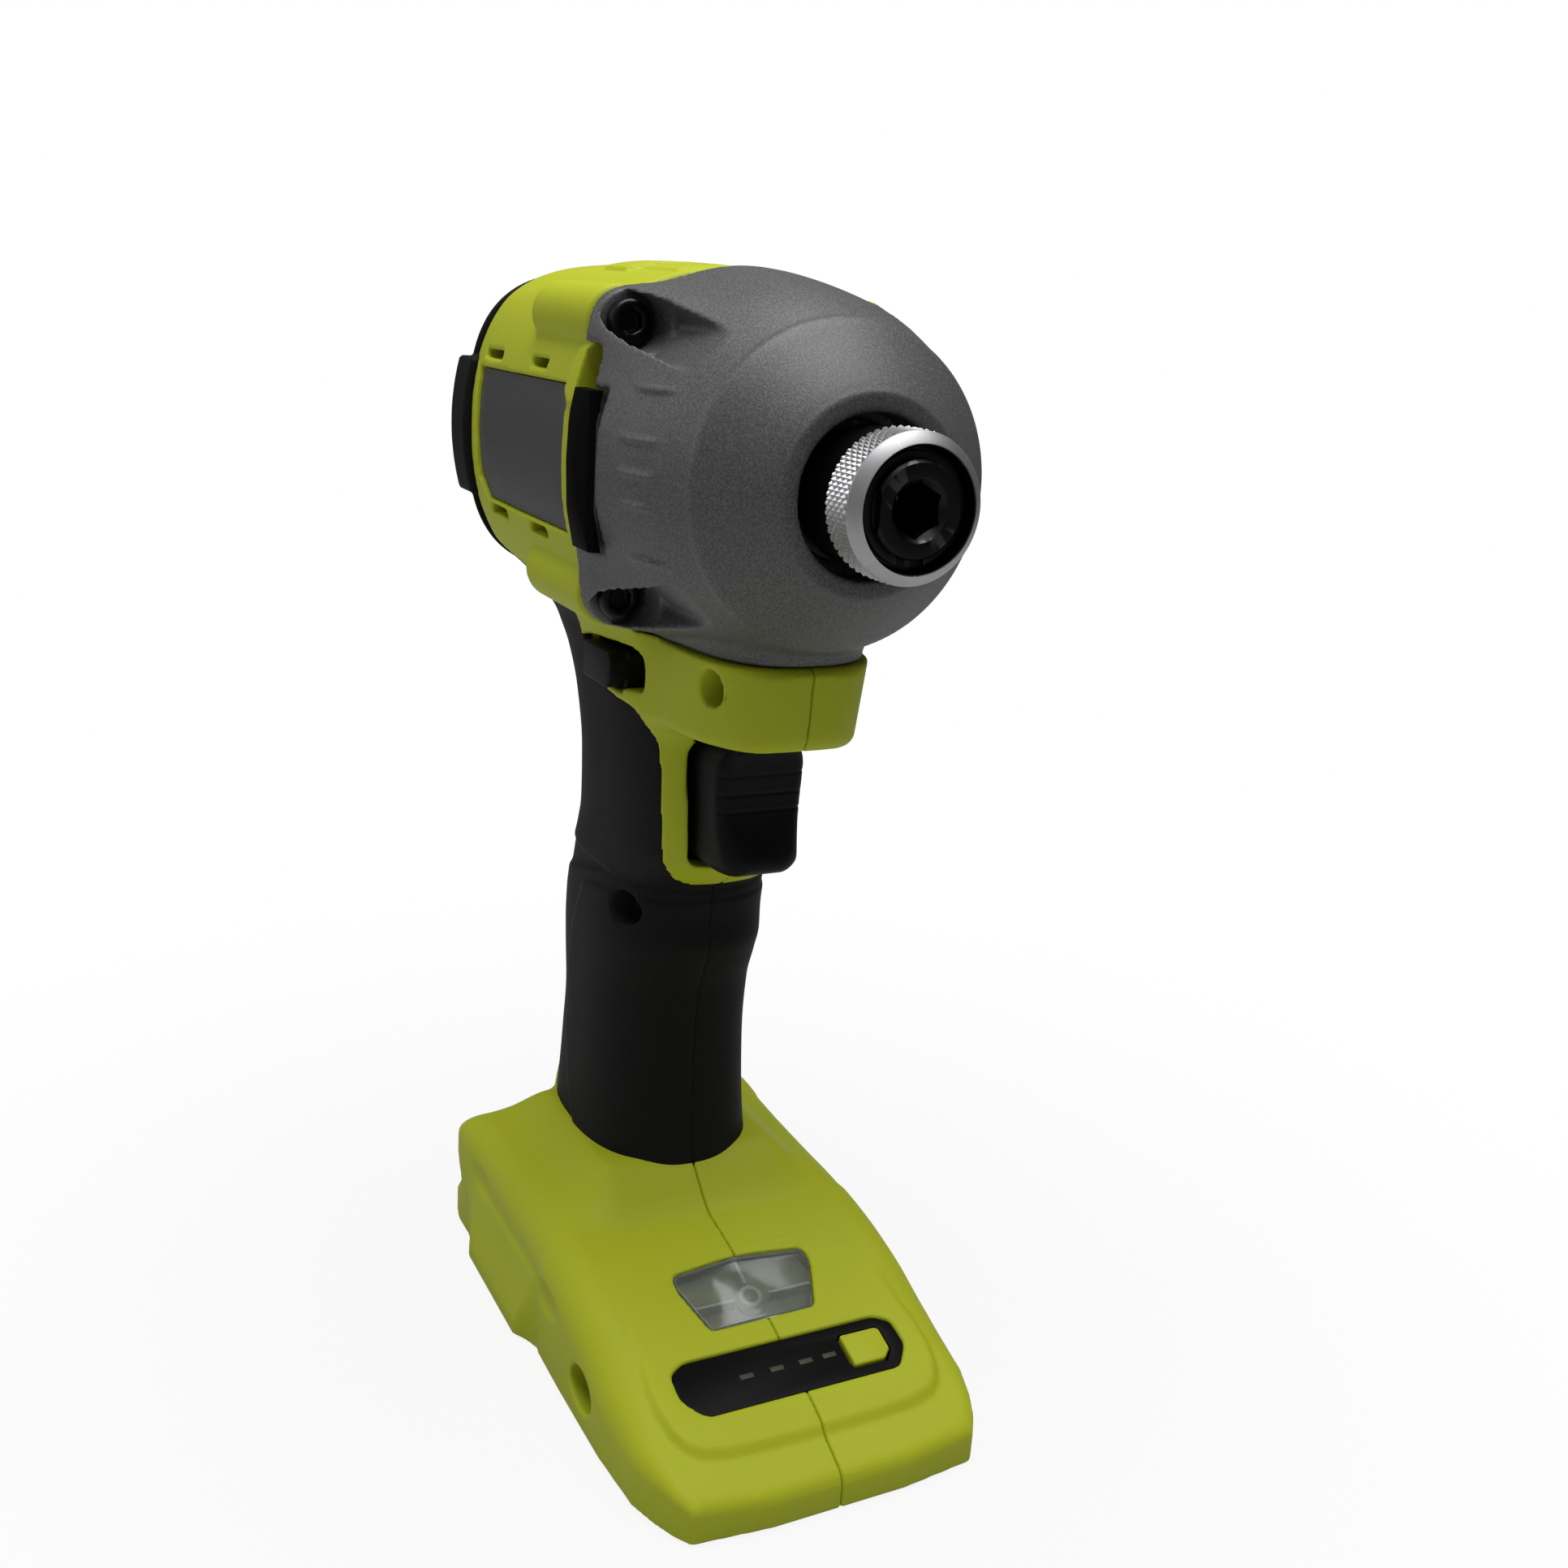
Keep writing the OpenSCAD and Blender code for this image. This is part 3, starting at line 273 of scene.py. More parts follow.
@dataclass(frozen=True)
class MouldedPlastic:
    """Moulded plastic or rubber with a fine eroded skin and lightly worn edges."""

    name: str
    colour: Colour
    rough: float
    grain: float = 2600.0
    bump: float = 0.12
    drift: float = 0.05
    wear: float = 0.10
    shine: float = 0.22

    def make(self) -> bpy.types.Material:
        """Build the material."""
        tree = Tree(self.name)
        broad = tree.noise(38.0, 3.0, 0.55)
        fine = tree.noise(self.grain, 2.0, 0.6)
        handled = tree.noise(150.0, 4.0, 0.6)
        colour = tree.mix(broad, rgba(self.colour, 1 - self.drift), rgba(self.colour, 1 + self.drift))
        edge = tree.node("ShaderNodeNewGeometry", output="Pointiness").step(0.51, 0.56)
        colour = tree.mix(edge * self.wear, colour, rgba(self.colour, 1.7))
        rough = self.rough - 0.05 + handled * 0.06 + fine * 0.04
        normal = tree.bump(fine, self.bump, 0.00006)
        return tree.finish(
            Base_Color=colour, Roughness=rough, Normal=normal, IOR=1.49, Specular_IOR_Level=self.shine
        )


@dataclass(frozen=True)
class SandCasting:
    """Painted casting with a sand grain that glints a little."""

    name: str
    colour: Colour
    metal: float = 0.35
    rough: float = 0.5
    grain: float = 3400.0

    def make(self) -> bpy.types.Material:
        """Build the material."""
        tree = Tree(self.name)
        fine = tree.noise(self.grain, 2.0, 0.7)
        broad = tree.noise(55.0, 3.0, 0.5)
        speck = fine.step(0.35, 0.72)
        colour = tree.mix(speck, rgba(self.colour, 0.6), rgba(self.colour, 1.42))
        colour = tree.mix(broad.step(0.3, 0.8) * 0.25, colour, rgba(self.colour, 1.12))
        rough = self.rough - 0.06 + broad * 0.1 + speck * 0.05
        normal = tree.bump(fine, 0.4, 0.0001)
        return tree.finish(Base_Color=colour, Roughness=rough, Metallic=self.metal, Normal=normal)


class Lay(Enum):
    """Direction of the fine lines on a machined face, as the scale of their noise on each axis."""

    ROUND = (1.0, 0.06, 0.06)
    ALONG = (0.05, 1.0, 1.0)
    NONE = (1.0, 1.0, 1.0)


@dataclass(frozen=True)
class MachinedMetal:
    """Turned, drawn or stamped metal with fine lines and rubbed edges."""

    name: str
    colour: Colour
    rough: float
    lay: Lay = Lay.ROUND
    lines: float = 5200.0
    wear: float = 0.15
    worn: Colour = (0.75, 0.75, 0.76)

    def make(self) -> bpy.types.Material:
        """Build the material."""
        tree = Tree(self.name)
        at = tree.node("ShaderNodeMapping", None, {"Vector": tree.place(), "Scale": self.lay.value})
        lines = tree.noise(self.lines, 3.0, 0.6, at)
        stain = tree.noise(120.0, 4.0, 0.6)
        colour = tree.mix(lines, rgba(self.colour, 0.86), rgba(self.colour, 1.08))
        colour = tree.mix(stain.step(0.45, 0.75) * 0.18, colour, rgba(self.colour, 0.7))
        edge = tree.node("ShaderNodeNewGeometry", output="Pointiness").step(0.52, 0.6)
        colour = tree.mix(edge * self.wear, colour, rgba(self.worn))
        rough = self.rough - 0.05 + lines * 0.06 + stain * 0.05
        normal = tree.bump(lines, 0.08, 0.00003)
        return tree.finish(Base_Color=colour, Roughness=rough, Metallic=1.0, Normal=normal)


@dataclass(frozen=True)
class ClearMoulding:
    """Clear moulded plastic with faint flow marks."""

    name: str
    colour: Colour = (0.86, 0.9, 0.88)

    def make(self) -> bpy.types.Material:
        """Build the material."""
        tree = Tree(self.name)
        flow = tree.noise(420.0, 2.0, 0.5)
        rough = 0.05 + flow * 0.1
        normal = tree.bump(flow, 0.1, 0.0001)
        return tree.finish(
            Base_Color=rgba(self.colour), Roughness=rough, Normal=normal, IOR=1.46, Transmission_Weight=0.93
        )


@dataclass(frozen=True)
class BoardLaminate:
    """Circuit board with faint copper runs under a green mask."""

    name: str
    colour: Colour = (0.02, 0.11, 0.05)

    def make(self) -> bpy.types.Material:
        """Build the material."""
        tree = Tree(self.name)
        values = {"Vector": tree.place(), "Scale": 320.0, "Mortar Size": 0.04}
        runs = tree.node("ShaderNodeTexBrick", None, values, 1)
        weave = tree.noise(1800.0, 2.0, 0.5)
        colour = tree.mix(runs, rgba(self.colour), rgba((0.06, 0.24, 0.09)))
        rough = 0.3 + weave * 0.12
        return tree.finish(Base_Color=colour, Roughness=rough, Normal=tree.bump(runs, 0.2, 0.00004))


@dataclass(frozen=True)
class WoundWire:
    """Enamelled wire laid side by side."""

    name: str
    colour: Colour = (0.42, 0.13, 0.04)

    def make(self) -> bpy.types.Material:
        """Build the material."""
        tree = Tree(self.name)
        settings = {"wave_type": "BANDS", "bands_direction": "X", "wave_profile": "SIN"}
        values = {"Vector": tree.place(), "Scale": 330.0, "Distortion": 0.4}
        turns = tree.node("ShaderNodeTexWave", settings, values)
        colour = tree.mix(turns, rgba(self.colour, 0.5), rgba(self.colour, 1.2))
        rough = 0.28 + tree.noise(500.0) * 0.14
        normal = tree.bump(turns, 0.7, 0.0002)
        return tree.finish(Base_Color=colour, Roughness=rough, Metallic=0.8, Normal=normal)


SHELL_GREEN = MouldedPlastic("shell_green", (0.43, 0.48, 0.018), 0.56, drift=0.03, wear=0.06)
SOFT_BLACK = MouldedPlastic("soft_black", (0.0085, 0.0085, 0.009), 0.62, 2100.0, 0.2, 0.1, 0.05, 0.1)
HARD_BLACK = MouldedPlastic("hard_black", (0.005, 0.005, 0.0055), 0.5, 2600.0, 0.12, 0.1, 0.06, 0.12)
BAR_BLACK = MouldedPlastic("bar_black", (0.003, 0.003, 0.003), 0.6, 2600.0, 0.1, 0.1, 0.04, 0.03)
PANEL_BLACK = MouldedPlastic("panel_black", (0.004, 0.004, 0.0045), 0.4, 2600.0, 0.05, 0.1, 0.05, 0.08)
WINDOW_GREY = MouldedPlastic("window_grey", (0.05, 0.055, 0.035), 0.4)
CASE_GREY = SandCasting("case_grey", (0.1, 0.1, 0.1), 0.2, 0.5)
PLATE_GREY = MachinedMetal("plate_grey", (0.11, 0.112, 0.116), 0.55, Lay.ALONG, 2600.0, 0.05)
BRIGHT_STEEL = MachinedMetal("bright_steel", (0.44, 0.44, 0.45), 0.47)
BLACK_STEEL = MachinedMetal(
    "black_steel", (0.02, 0.02, 0.021), 0.38, lines=4200.0, wear=0.22, worn=(0.3, 0.3, 0.31)
)
GEAR_STEEL = MachinedMetal("machined_steel", (0.4, 0.4, 0.42), 0.34)
BEARING_STEEL = MachinedMetal("bearing_steel", (0.68, 0.68, 0.7), 0.16)
SPRING_STEEL = MachinedMetal("spring_steel", (0.33, 0.33, 0.35), 0.32, Lay.NONE)
# Bush colour darker than bare bronze: partly the dark brown of oil-filled bronze, partly painted shade for
# the deep shadow the bush sits in.
BUSH_BRONZE_WITH_PAINTED_SHADE = MachinedMetal("bush_bronze", (0.075, 0.05, 0.03), 0.45)
CORE_STEEL = MachinedMetal("core_steel", (0.2, 0.2, 0.215), 0.5, Lay.ROUND, 2400.0)
BLADE_BRASS = MachinedMetal("blade_brass", (0.62, 0.43, 0.14), 0.25, Lay.ALONG)
LAMP_PALE = MouldedPlastic("lamp_pale", (0.22, 0.23, 0.15), 0.3, bump=0.03)
LENS_CLEAR = ClearMoulding("lens_clear")
TRAY_GREY = MouldedPlastic("tray_grey", (0.17, 0.178, 0.085), 0.4, drift=0.3)
TRAY_LINE = MouldedPlastic("tray_line", (0.4, 0.42, 0.33), 0.35)
BOARD_GREEN = BoardLaminate("board_green")
COIL_COPPER = WoundWire("coil_copper")
Finish = Union[MouldedPlastic, SandCasting, MachinedMetal, ClearMoulding, BoardLaminate, WoundWire]
_MADE: dict[str, bpy.types.Material] = {}


def material_of(finish: Finish) -> bpy.types.Material:
    """Material of a finish, made once."""
    if finish.name not in _MADE:
        _MADE[finish.name] = finish.make()
    return _MADE[finish.name]


# Solid fields


def follow(rows: Points, at: Array) -> Array:
    """Smooth curve through points that never overshoots them.

    Args:
        rows: places and values, by rising place.
        at: places to read it at.

    Returns:
        The values.
    """
    x = np.array([r[0] for r in rows], np.float32)
    v = np.array([r[1] for r in rows], np.float32)
    h = np.diff(x)
    slope = np.diff(v) / h
    tangent = np.zeros_like(v)
    left, right = slope[:-1], slope[1:]
    same = left * right > 0
    tangent[1:-1][same] = 2 * left[same] * right[same] / (left[same] + right[same])
    tangent[0], tangent[-1] = slope[0], slope[-1]
    flat = np.clip(at, x[0], x[-1])
    i = np.clip(np.searchsorted(x, flat) - 1, 0, len(h) - 1)
    t = (flat - x[i]) / h[i]
    one = 1 - t
    return (
        v[i] * (1 + 2 * t) * one**2
        + tangent[i] * h[i] * t * one**2
        + v[i + 1] * t**2 * (3 - 2 * t)
        - tangent[i + 1] * h[i] * t**2 * one
    ).astype(np.float32)


def meet(a: Array, b: Array, r: Union[float, Array] = 0.0) -> Array:
    """What lies in both fields, with the edge between them rounded.

    Args:
        a: first field, negative inside.
        b: second field.
        r: radius of the edge.

    Returns:
        The joined field.
    """
    if isinstance(r, float) and r <= 0:
        return np.maximum(a, b)
    pa, pb = np.maximum(a + r, 0), np.maximum(b + r, 0)
    return np.sqrt(pa * pa + pb * pb) - r + np.minimum(np.maximum(a, b) + r, 0)


def join(a: Array, b: Array, r: Union[float, Array] = 0.0) -> Array:
    """What lies in either field, with a fillet of radius r between them."""
    return -meet(-a, -b, r)


def carve(a: Array, b: Array, r: Union[float, Array] = 0.0) -> Array:
    """The first field without the second, with its edge rounded by r."""
    return meet(a, -b, r)


def common(*fields: Array) -> Array:
    """What lies in all the fields, with sharp edges."""
    return reduce(np.maximum, fields)


def cut(solid: Array, r: float, *fields: Array) -> Array:
    """The solid without what lies in all the fields, with the edge rounded by r."""
    return carve(solid, common(*fields), r)


def ease(t: Array, gain: Union[float, Array] = 1.0) -> Array:
    """Smooth rise from 0 to the gain, while t runs from 0 to 1."""
    return gain * t * t * (3 - 2 * t)


def soften(points: Points, rounds: int = 2) -> list[tuple[float, float]]:
    """Outline with its corners cut into curves."""
    outline = [tuple(p) for p in points]
    for _ in range(rounds):
        cut: list[tuple[float, float]] = []
        for (x0, y0), (x1, y1) in zip(outline, outline[1:] + outline[:1]):
            cut.append((0.75 * x0 + 0.25 * x1, 0.75 * y0 + 0.25 * y1))
            cut.append((0.25 * x0 + 0.75 * x1, 0.25 * y0 + 0.75 * y1))
        outline = cut
    return outline


def outline_field(points: Points, p: Array, q: Array) -> Array:
    """Distance to a closed outline, negative inside.

    Args:
        points: corners of the outline.
        p: first coordinate.
        q: second coordinate.

    Returns:
        The signed distance.
    """
    shape = np.broadcast_shapes(p.shape, q.shape)
    far = np.full(shape, 1e9, np.float32)
    sign = np.ones(shape, np.float32)
    for (x0, y0), (x1, y1) in zip(points, list(points[1:]) + [points[0]]):
        ex, ey = x1 - x0, y1 - y0
        wx, wy = p - x0, q - y0
        t = np.clip((wx * ex + wy * ey) / (ex * ex + ey * ey + 1e-9), 0, 1)
        far = np.minimum(far, (wx - ex * t) ** 2 + (wy - ey * t) ** 2)
        above, below = q >= y0, q < y1
        side = ex * wy > ey * wx
        flip = (above & below & side) | (~above & ~below & ~side)
        sign = np.where(flip, -sign, sign)
    return sign * np.sqrt(far)


def oval_field(p: Array, q: Array, a: Array, b: Array, n: Array) -> Array:
    """Distance to an oval between an ellipse and a box, near enough beside its wall.

    Args:
        p: first coordinate.
        q: second coordinate.
        a: half length along the first.
        b: half length along the second.
        n: power, 2 for an ellipse and more for a boxier oval.

    Returns:
        The signed distance.
    """
    ps, qs = np.abs(p) / a + 1e-4, np.abs(q) / b + 1e-4
    pn, qn = ps ** (n - 1), qs ** (n - 1)
    total = pn * ps + qn * qs
    reach = total ** (1 / n)
    slope = np.sqrt((pn / a) ** 2 + (qn / b) ** 2) * reach / total
    return (reach - 1) / slope


@dataclass
class Grid:
    """Block of space that a field is worked out in."""

    low: tuple[float, float, float]
    high: tuple[float, float, float]
    step: float

    def __post_init__(self) -> None:
        """Lay out the axes."""
        step = self.step
        axes = [np.arange(lo, hi + step, step, dtype=np.float32) for lo, hi in zip(self.low, self.high)]
        self.u = axes[0][:, None, None]
        self.y = axes[1][None, :, None]
        self.z = axes[2][None, None, :]
        self.w = self.z - np.float32(AXIS_Z)

    def radius(self) -> Array:
        """Distance from the spindle axis."""
        return np.sqrt(self.y**2 + self.w**2)

    def along_u(self, rows: Points) -> Array:
        """Smooth curve over u through places and values."""
        return follow(rows, self.u[:, 0, 0])[:, None, None]

    def along_z(self, rows: Points) -> Array:
        """Smooth curve over z through places and values."""
        return follow(rows, self.z[0, 0, :])[None, None, :]

    def side_outline(self, points: Points, rounds: int = 0) -> Array:
        """Outline over u and z, with its corners cut in so many rounds."""
        return outline_field(soften(points, rounds), self.u, self.z)

    def plan_outline(self, points: Points, rounds: int = 0) -> Array:
        """Outline over u and y, with its corners cut in so many rounds."""
        return outline_field(soften(points, rounds), self.u, self.y)

    def rod_along_y(self, r: float, u: float, z: float) -> Array:
        """Endless round bar along y."""
        return np.sqrt((self.u - u) ** 2 + (self.z - z) ** 2) - r

    def slab(self, axis: str, low: float, high: float) -> Array:
        """Space between two planes."""
        at = getattr(self, axis)
        return np.maximum(low - at, at - high)

    def block(self, us: Span, ys: Span, zs: Span, r: float) -> Array:
        """Box with rounded edges, on both sides of the tool when it doesn't reach y = 0."""
        at = np.abs(self.y) if ys[0] > 0 else self.y
        across = np.maximum(ys[0] - at, at - ys[1])
        return meet(meet(self.slab("u", *us), across, r), self.slab("z", *zs), r)


class Skin:
    """Turns a field into a mesh of quads by surface nets."""

    EDGES = [
        ((0, 0, 0), (1, 0, 0)), ((0, 1, 0), (1, 1, 0)), ((0, 0, 1), (1, 0, 1)), ((0, 1, 1), (1, 1, 1)),
        ((0, 0, 0), (0, 1, 0)), ((1, 0, 0), (1, 1, 0)), ((0, 0, 1), (0, 1, 1)), ((1, 0, 1), (1, 1, 1)),
        ((0, 0, 0), (0, 0, 1)), ((1, 0, 0), (1, 0, 1)), ((0, 1, 0), (0, 1, 1)), ((1, 1, 0), (1, 1, 1)),
    ]

    def __init__(self, grid: Grid, values: Array) -> None:
        """Work out the vertices and quads."""
        size = (grid.u.size, grid.y.size, grid.z.size)
        d = np.ascontiguousarray(np.broadcast_to(values, size), np.float32)
        inside = d < 0
        count = np.zeros([n - 1 for n in size], np.uint8)
        for i in (0, 1):
            for j in (0, 1):
                for k in (0, 1):
                    count += inside[i : size[0] - 1 + i, j : size[1] - 1 + j, k : size[2] - 1 + k]
        live = (count > 0) & (count < 8)
        cells = np.argwhere(live)
        index = np.full(live.shape, -1, np.int32)
        index[live] = np.arange(len(cells), dtype=np.int32)
        total = np.zeros((len(cells), 3), np.float64)
        number = np.zeros(len(cells))
        for a, b in self.EDGES:
            da = d[tuple((cells + a).T)]
            db = d[tuple((cells + b).T)]
            hit = (da < 0) != (db < 0)
            t = da[hit] / (da[hit] - db[hit])
            total[hit] += np.array(a) + t[:, None] * (np.array(b) - np.array(a))
            number[hit] += 1
        self.verts = np.array(grid.low) + grid.step * (cells + total / number[:, None])
        self.quads = np.concatenate([self._quads(inside, index, axis) for axis in range(3)])

    @staticmethod
    def _quads(inside: Array, index: Array, axis: int) -> Array:
        """Quads around the crossed grid edges of one direction."""
        a = np.moveaxis(inside, axis, 0)
        cells = np.moveaxis(index, axis, 0)
        low, high = a[:-1, 1:-1, 1:-1], a[1:, 1:-1, 1:-1]
        found = []
        for out in (False, True):
            i, j, k = np.nonzero(low & ~high if out else ~low & high)
            corners = [cells[i, j, k], cells[i, j + 1, k], cells[i, j + 1, k + 1], cells[i, j, k + 1]]
            ring = np.stack(corners, 1)
            found.append(ring if out != (axis == 1) else ring[:, ::-1])
        return np.concatenate(found)


def tube_quads(rings: int, around: int, closed: bool) -> Array:
    """Quads of a tube, from ring to ring.

    Args:
        rings: number of rings.
        around: points on each ring.
        closed: whether the last ring is joined to the first.

    Returns:
        Rows of four vertex numbers.
    """
    i, j = np.meshgrid(np.arange(rings if closed else rings - 1), np.arange(around), indexing="ij")
    after, beside = (i + 1) % rings, (j + 1) % around
    corners = [i * around + j, i * around + beside, after * around + beside, after * around + j]
    return np.stack(corners, -1).reshape(-1, 4)


@dataclass
class Bench:
    """Makes meshes, dresses them and hangs them on their bodies."""

    pieces: list[str] = field(default_factory=list)

    @staticmethod
    def mesh(name: str, verts: Array, faces: Array) -> bpy.types.Object:
        """Object from vertices in millimetres and faces of one size.

        Args:
            name: name of the piece.
            verts: vertices along u, y and z.
            faces: rows of vertex numbers.

        Returns:
            The object, in metres of the row frame.
        """
        data = bpy.data.meshes.new(name)
        co = (np.asarray(verts, np.float64) + (U_TO_X, 0, 0)) * MM
        faces = np.asarray(faces, np.int32)
        sides = faces.shape[1]
        data.vertices.add(len(co))
        data.vertices.foreach_set("co", co.astype(np.float32).ravel())
        data.loops.add(faces.size)
        data.loops.foreach_set("vertex_index", faces.ravel())
        data.polygons.add(len(faces))
        data.polygons.foreach_set("loop_start", np.arange(0, faces.size, sides, dtype=np.int32))
        data.update(calc_edges=True)
        data.validate()
        made = bpy.data.objects.new(name, data)
        bpy.context.scene.collection.objects.link(made)
        return made

    @staticmethod
    def settle(piece: bpy.types.Object, angle: Optional[float] = None) -> None:
        """Apply a piece's modifiers and shade it smooth.

        Args:
            piece: the piece.
            angle: edges sharper than this many degrees stay sharp; None keeps all smooth.
        """
        deps = bpy.context.evaluated_depsgraph_get()
        data = bpy.data.meshes.new_from_object(piece.evaluated_get(deps))
        piece.modifiers.clear()
        piece.data = data
        if angle is None:
            data.shade_smooth()
        else:
            data.set_sharp_from_angle(angle=math.radians(angle))

    def from_field(self, name: str, grid: Grid, values: Array, faces: int) -> bpy.types.Object:
        """Piece from a field.

        Args:
            name: name of the piece.
            grid: space of the field.
            values: the field.
            faces: most triangles that it keeps.

        Returns:
            The piece.
        """
        skin = Skin(grid, values)
        piece = self.mesh(name, skin.verts, skin.quads)
        share = faces / (2 * len(skin.quads))
        if share < 1:
            thin = piece.modifiers.new("thin", "DECIMATE")
            thin.ratio = share
        self.settle(piece)
        LOG.info("%s: %d quads thinned to %d faces", name, len(skin.quads), len(piece.data.polygons))
        return piece

    def dress(
        self,
        piece: bpy.types.Object,
        finish: Finish,
        body: Body,
        slot: Optional[str] = None,
        stands_for: Sequence[str] = (),
    ) -> bpy.types.Object:
        """Give a piece its finish and its body.

        Args:
            piece: the piece.
            finish: its finish.
            body: the body it rides on.
            slot: material slot of the record; not used.
            stands_for: CAD nodes it is shown in place of.

        Returns:
            The piece.
        """
        piece.data.materials.clear()
        piece.data.materials.append(material_of(finish))
        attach(piece, body.value)
        if stands_for:
            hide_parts(*stands_for)
        self.pieces.append(piece.name)
        LOG.info("piece %s rides on %s", piece.name, body.value)
        return piece

    def keep(self, node: str, finish: Finish, bevel: float = 0.0, angle: float = 32.0) -> bpy.types.Object:
        """Show a CAD node with a finish and softened edges.

        Args:
            node: name of the node.
            finish: its finish.
            bevel: width of its edges in millimetres, 0 for none.
            angle: edges sharper than this many degrees stay sharp or are softened.

        Returns:
            The node's object.
        """
        shown = frame["nodes"][node]
        shown.data.materials.clear()
        shown.data.materials.append(material_of(finish))
        weld = shown.modifiers.new("weld", "WELD")
        weld.merge_threshold = 2e-6
        if bevel > 0:
            edge = shown.modifiers.new("edge", "BEVEL")
            edge.width = bevel * MM
            edge.segments = 3
            edge.limit_method = "ANGLE"
            edge.angle_limit = math.radians(angle)
            edge.harden_normals = False
        smooth = shown.modifiers.new("smooth", "NODES")
        smooth.node_group = smooth_group(angle)
        LOG.info("kept %s as %s", node, finish.name)
        return shown


SLOT_OF = {row["node"]: row["material_slot"] for row in frame["record"]["subparts"]}


def smooth_group(angle: float) -> bpy.types.NodeTree:
    """Geometry nodes that shade smooth below an angle.

    Args:
        angle: the angle in degrees.

    Returns:
        The node group, made once for each angle.
    """
    name = f"smooth_{angle:g}"
    if name in bpy.data.node_groups:
        return bpy.data.node_groups[name]
    group = bpy.data.node_groups.new(name, "GeometryNodeTree")
    group.interface.new_socket("Geometry", in_out="INPUT", socket_type="NodeSocketGeometry")
    group.interface.new_socket("Geometry", in_out="OUTPUT", socket_type="NodeSocketGeometry")
    nodes, links = group.nodes, group.links
    start, end = nodes.new("NodeGroupInput"), nodes.new("NodeGroupOutput")
    faces = nodes.new("GeometryNodeSetShadeSmooth")
    faces.domain = "FACE"
    edges = nodes.new("GeometryNodeSetShadeSmooth")
    edges.domain = "EDGE"
    bend = nodes.new("GeometryNodeInputMeshEdgeAngle")
    sharp = nodes.new("FunctionNodeCompare")
    sharp.data_type = "FLOAT"
    sharp.operation = "LESS_EQUAL"
    sharp.inputs[1].default_value = math.radians(angle)
    links.new(start.outputs[0], faces.inputs["Geometry"])
    links.new(bend.outputs[0], sharp.inputs[0])
    links.new(faces.outputs[0], edges.inputs["Geometry"])
    links.new(sharp.outputs[0], edges.inputs["Shade Smooth"])
    links.new(edges.outputs[0], end.inputs[0])
    return group


# Forms of the tool


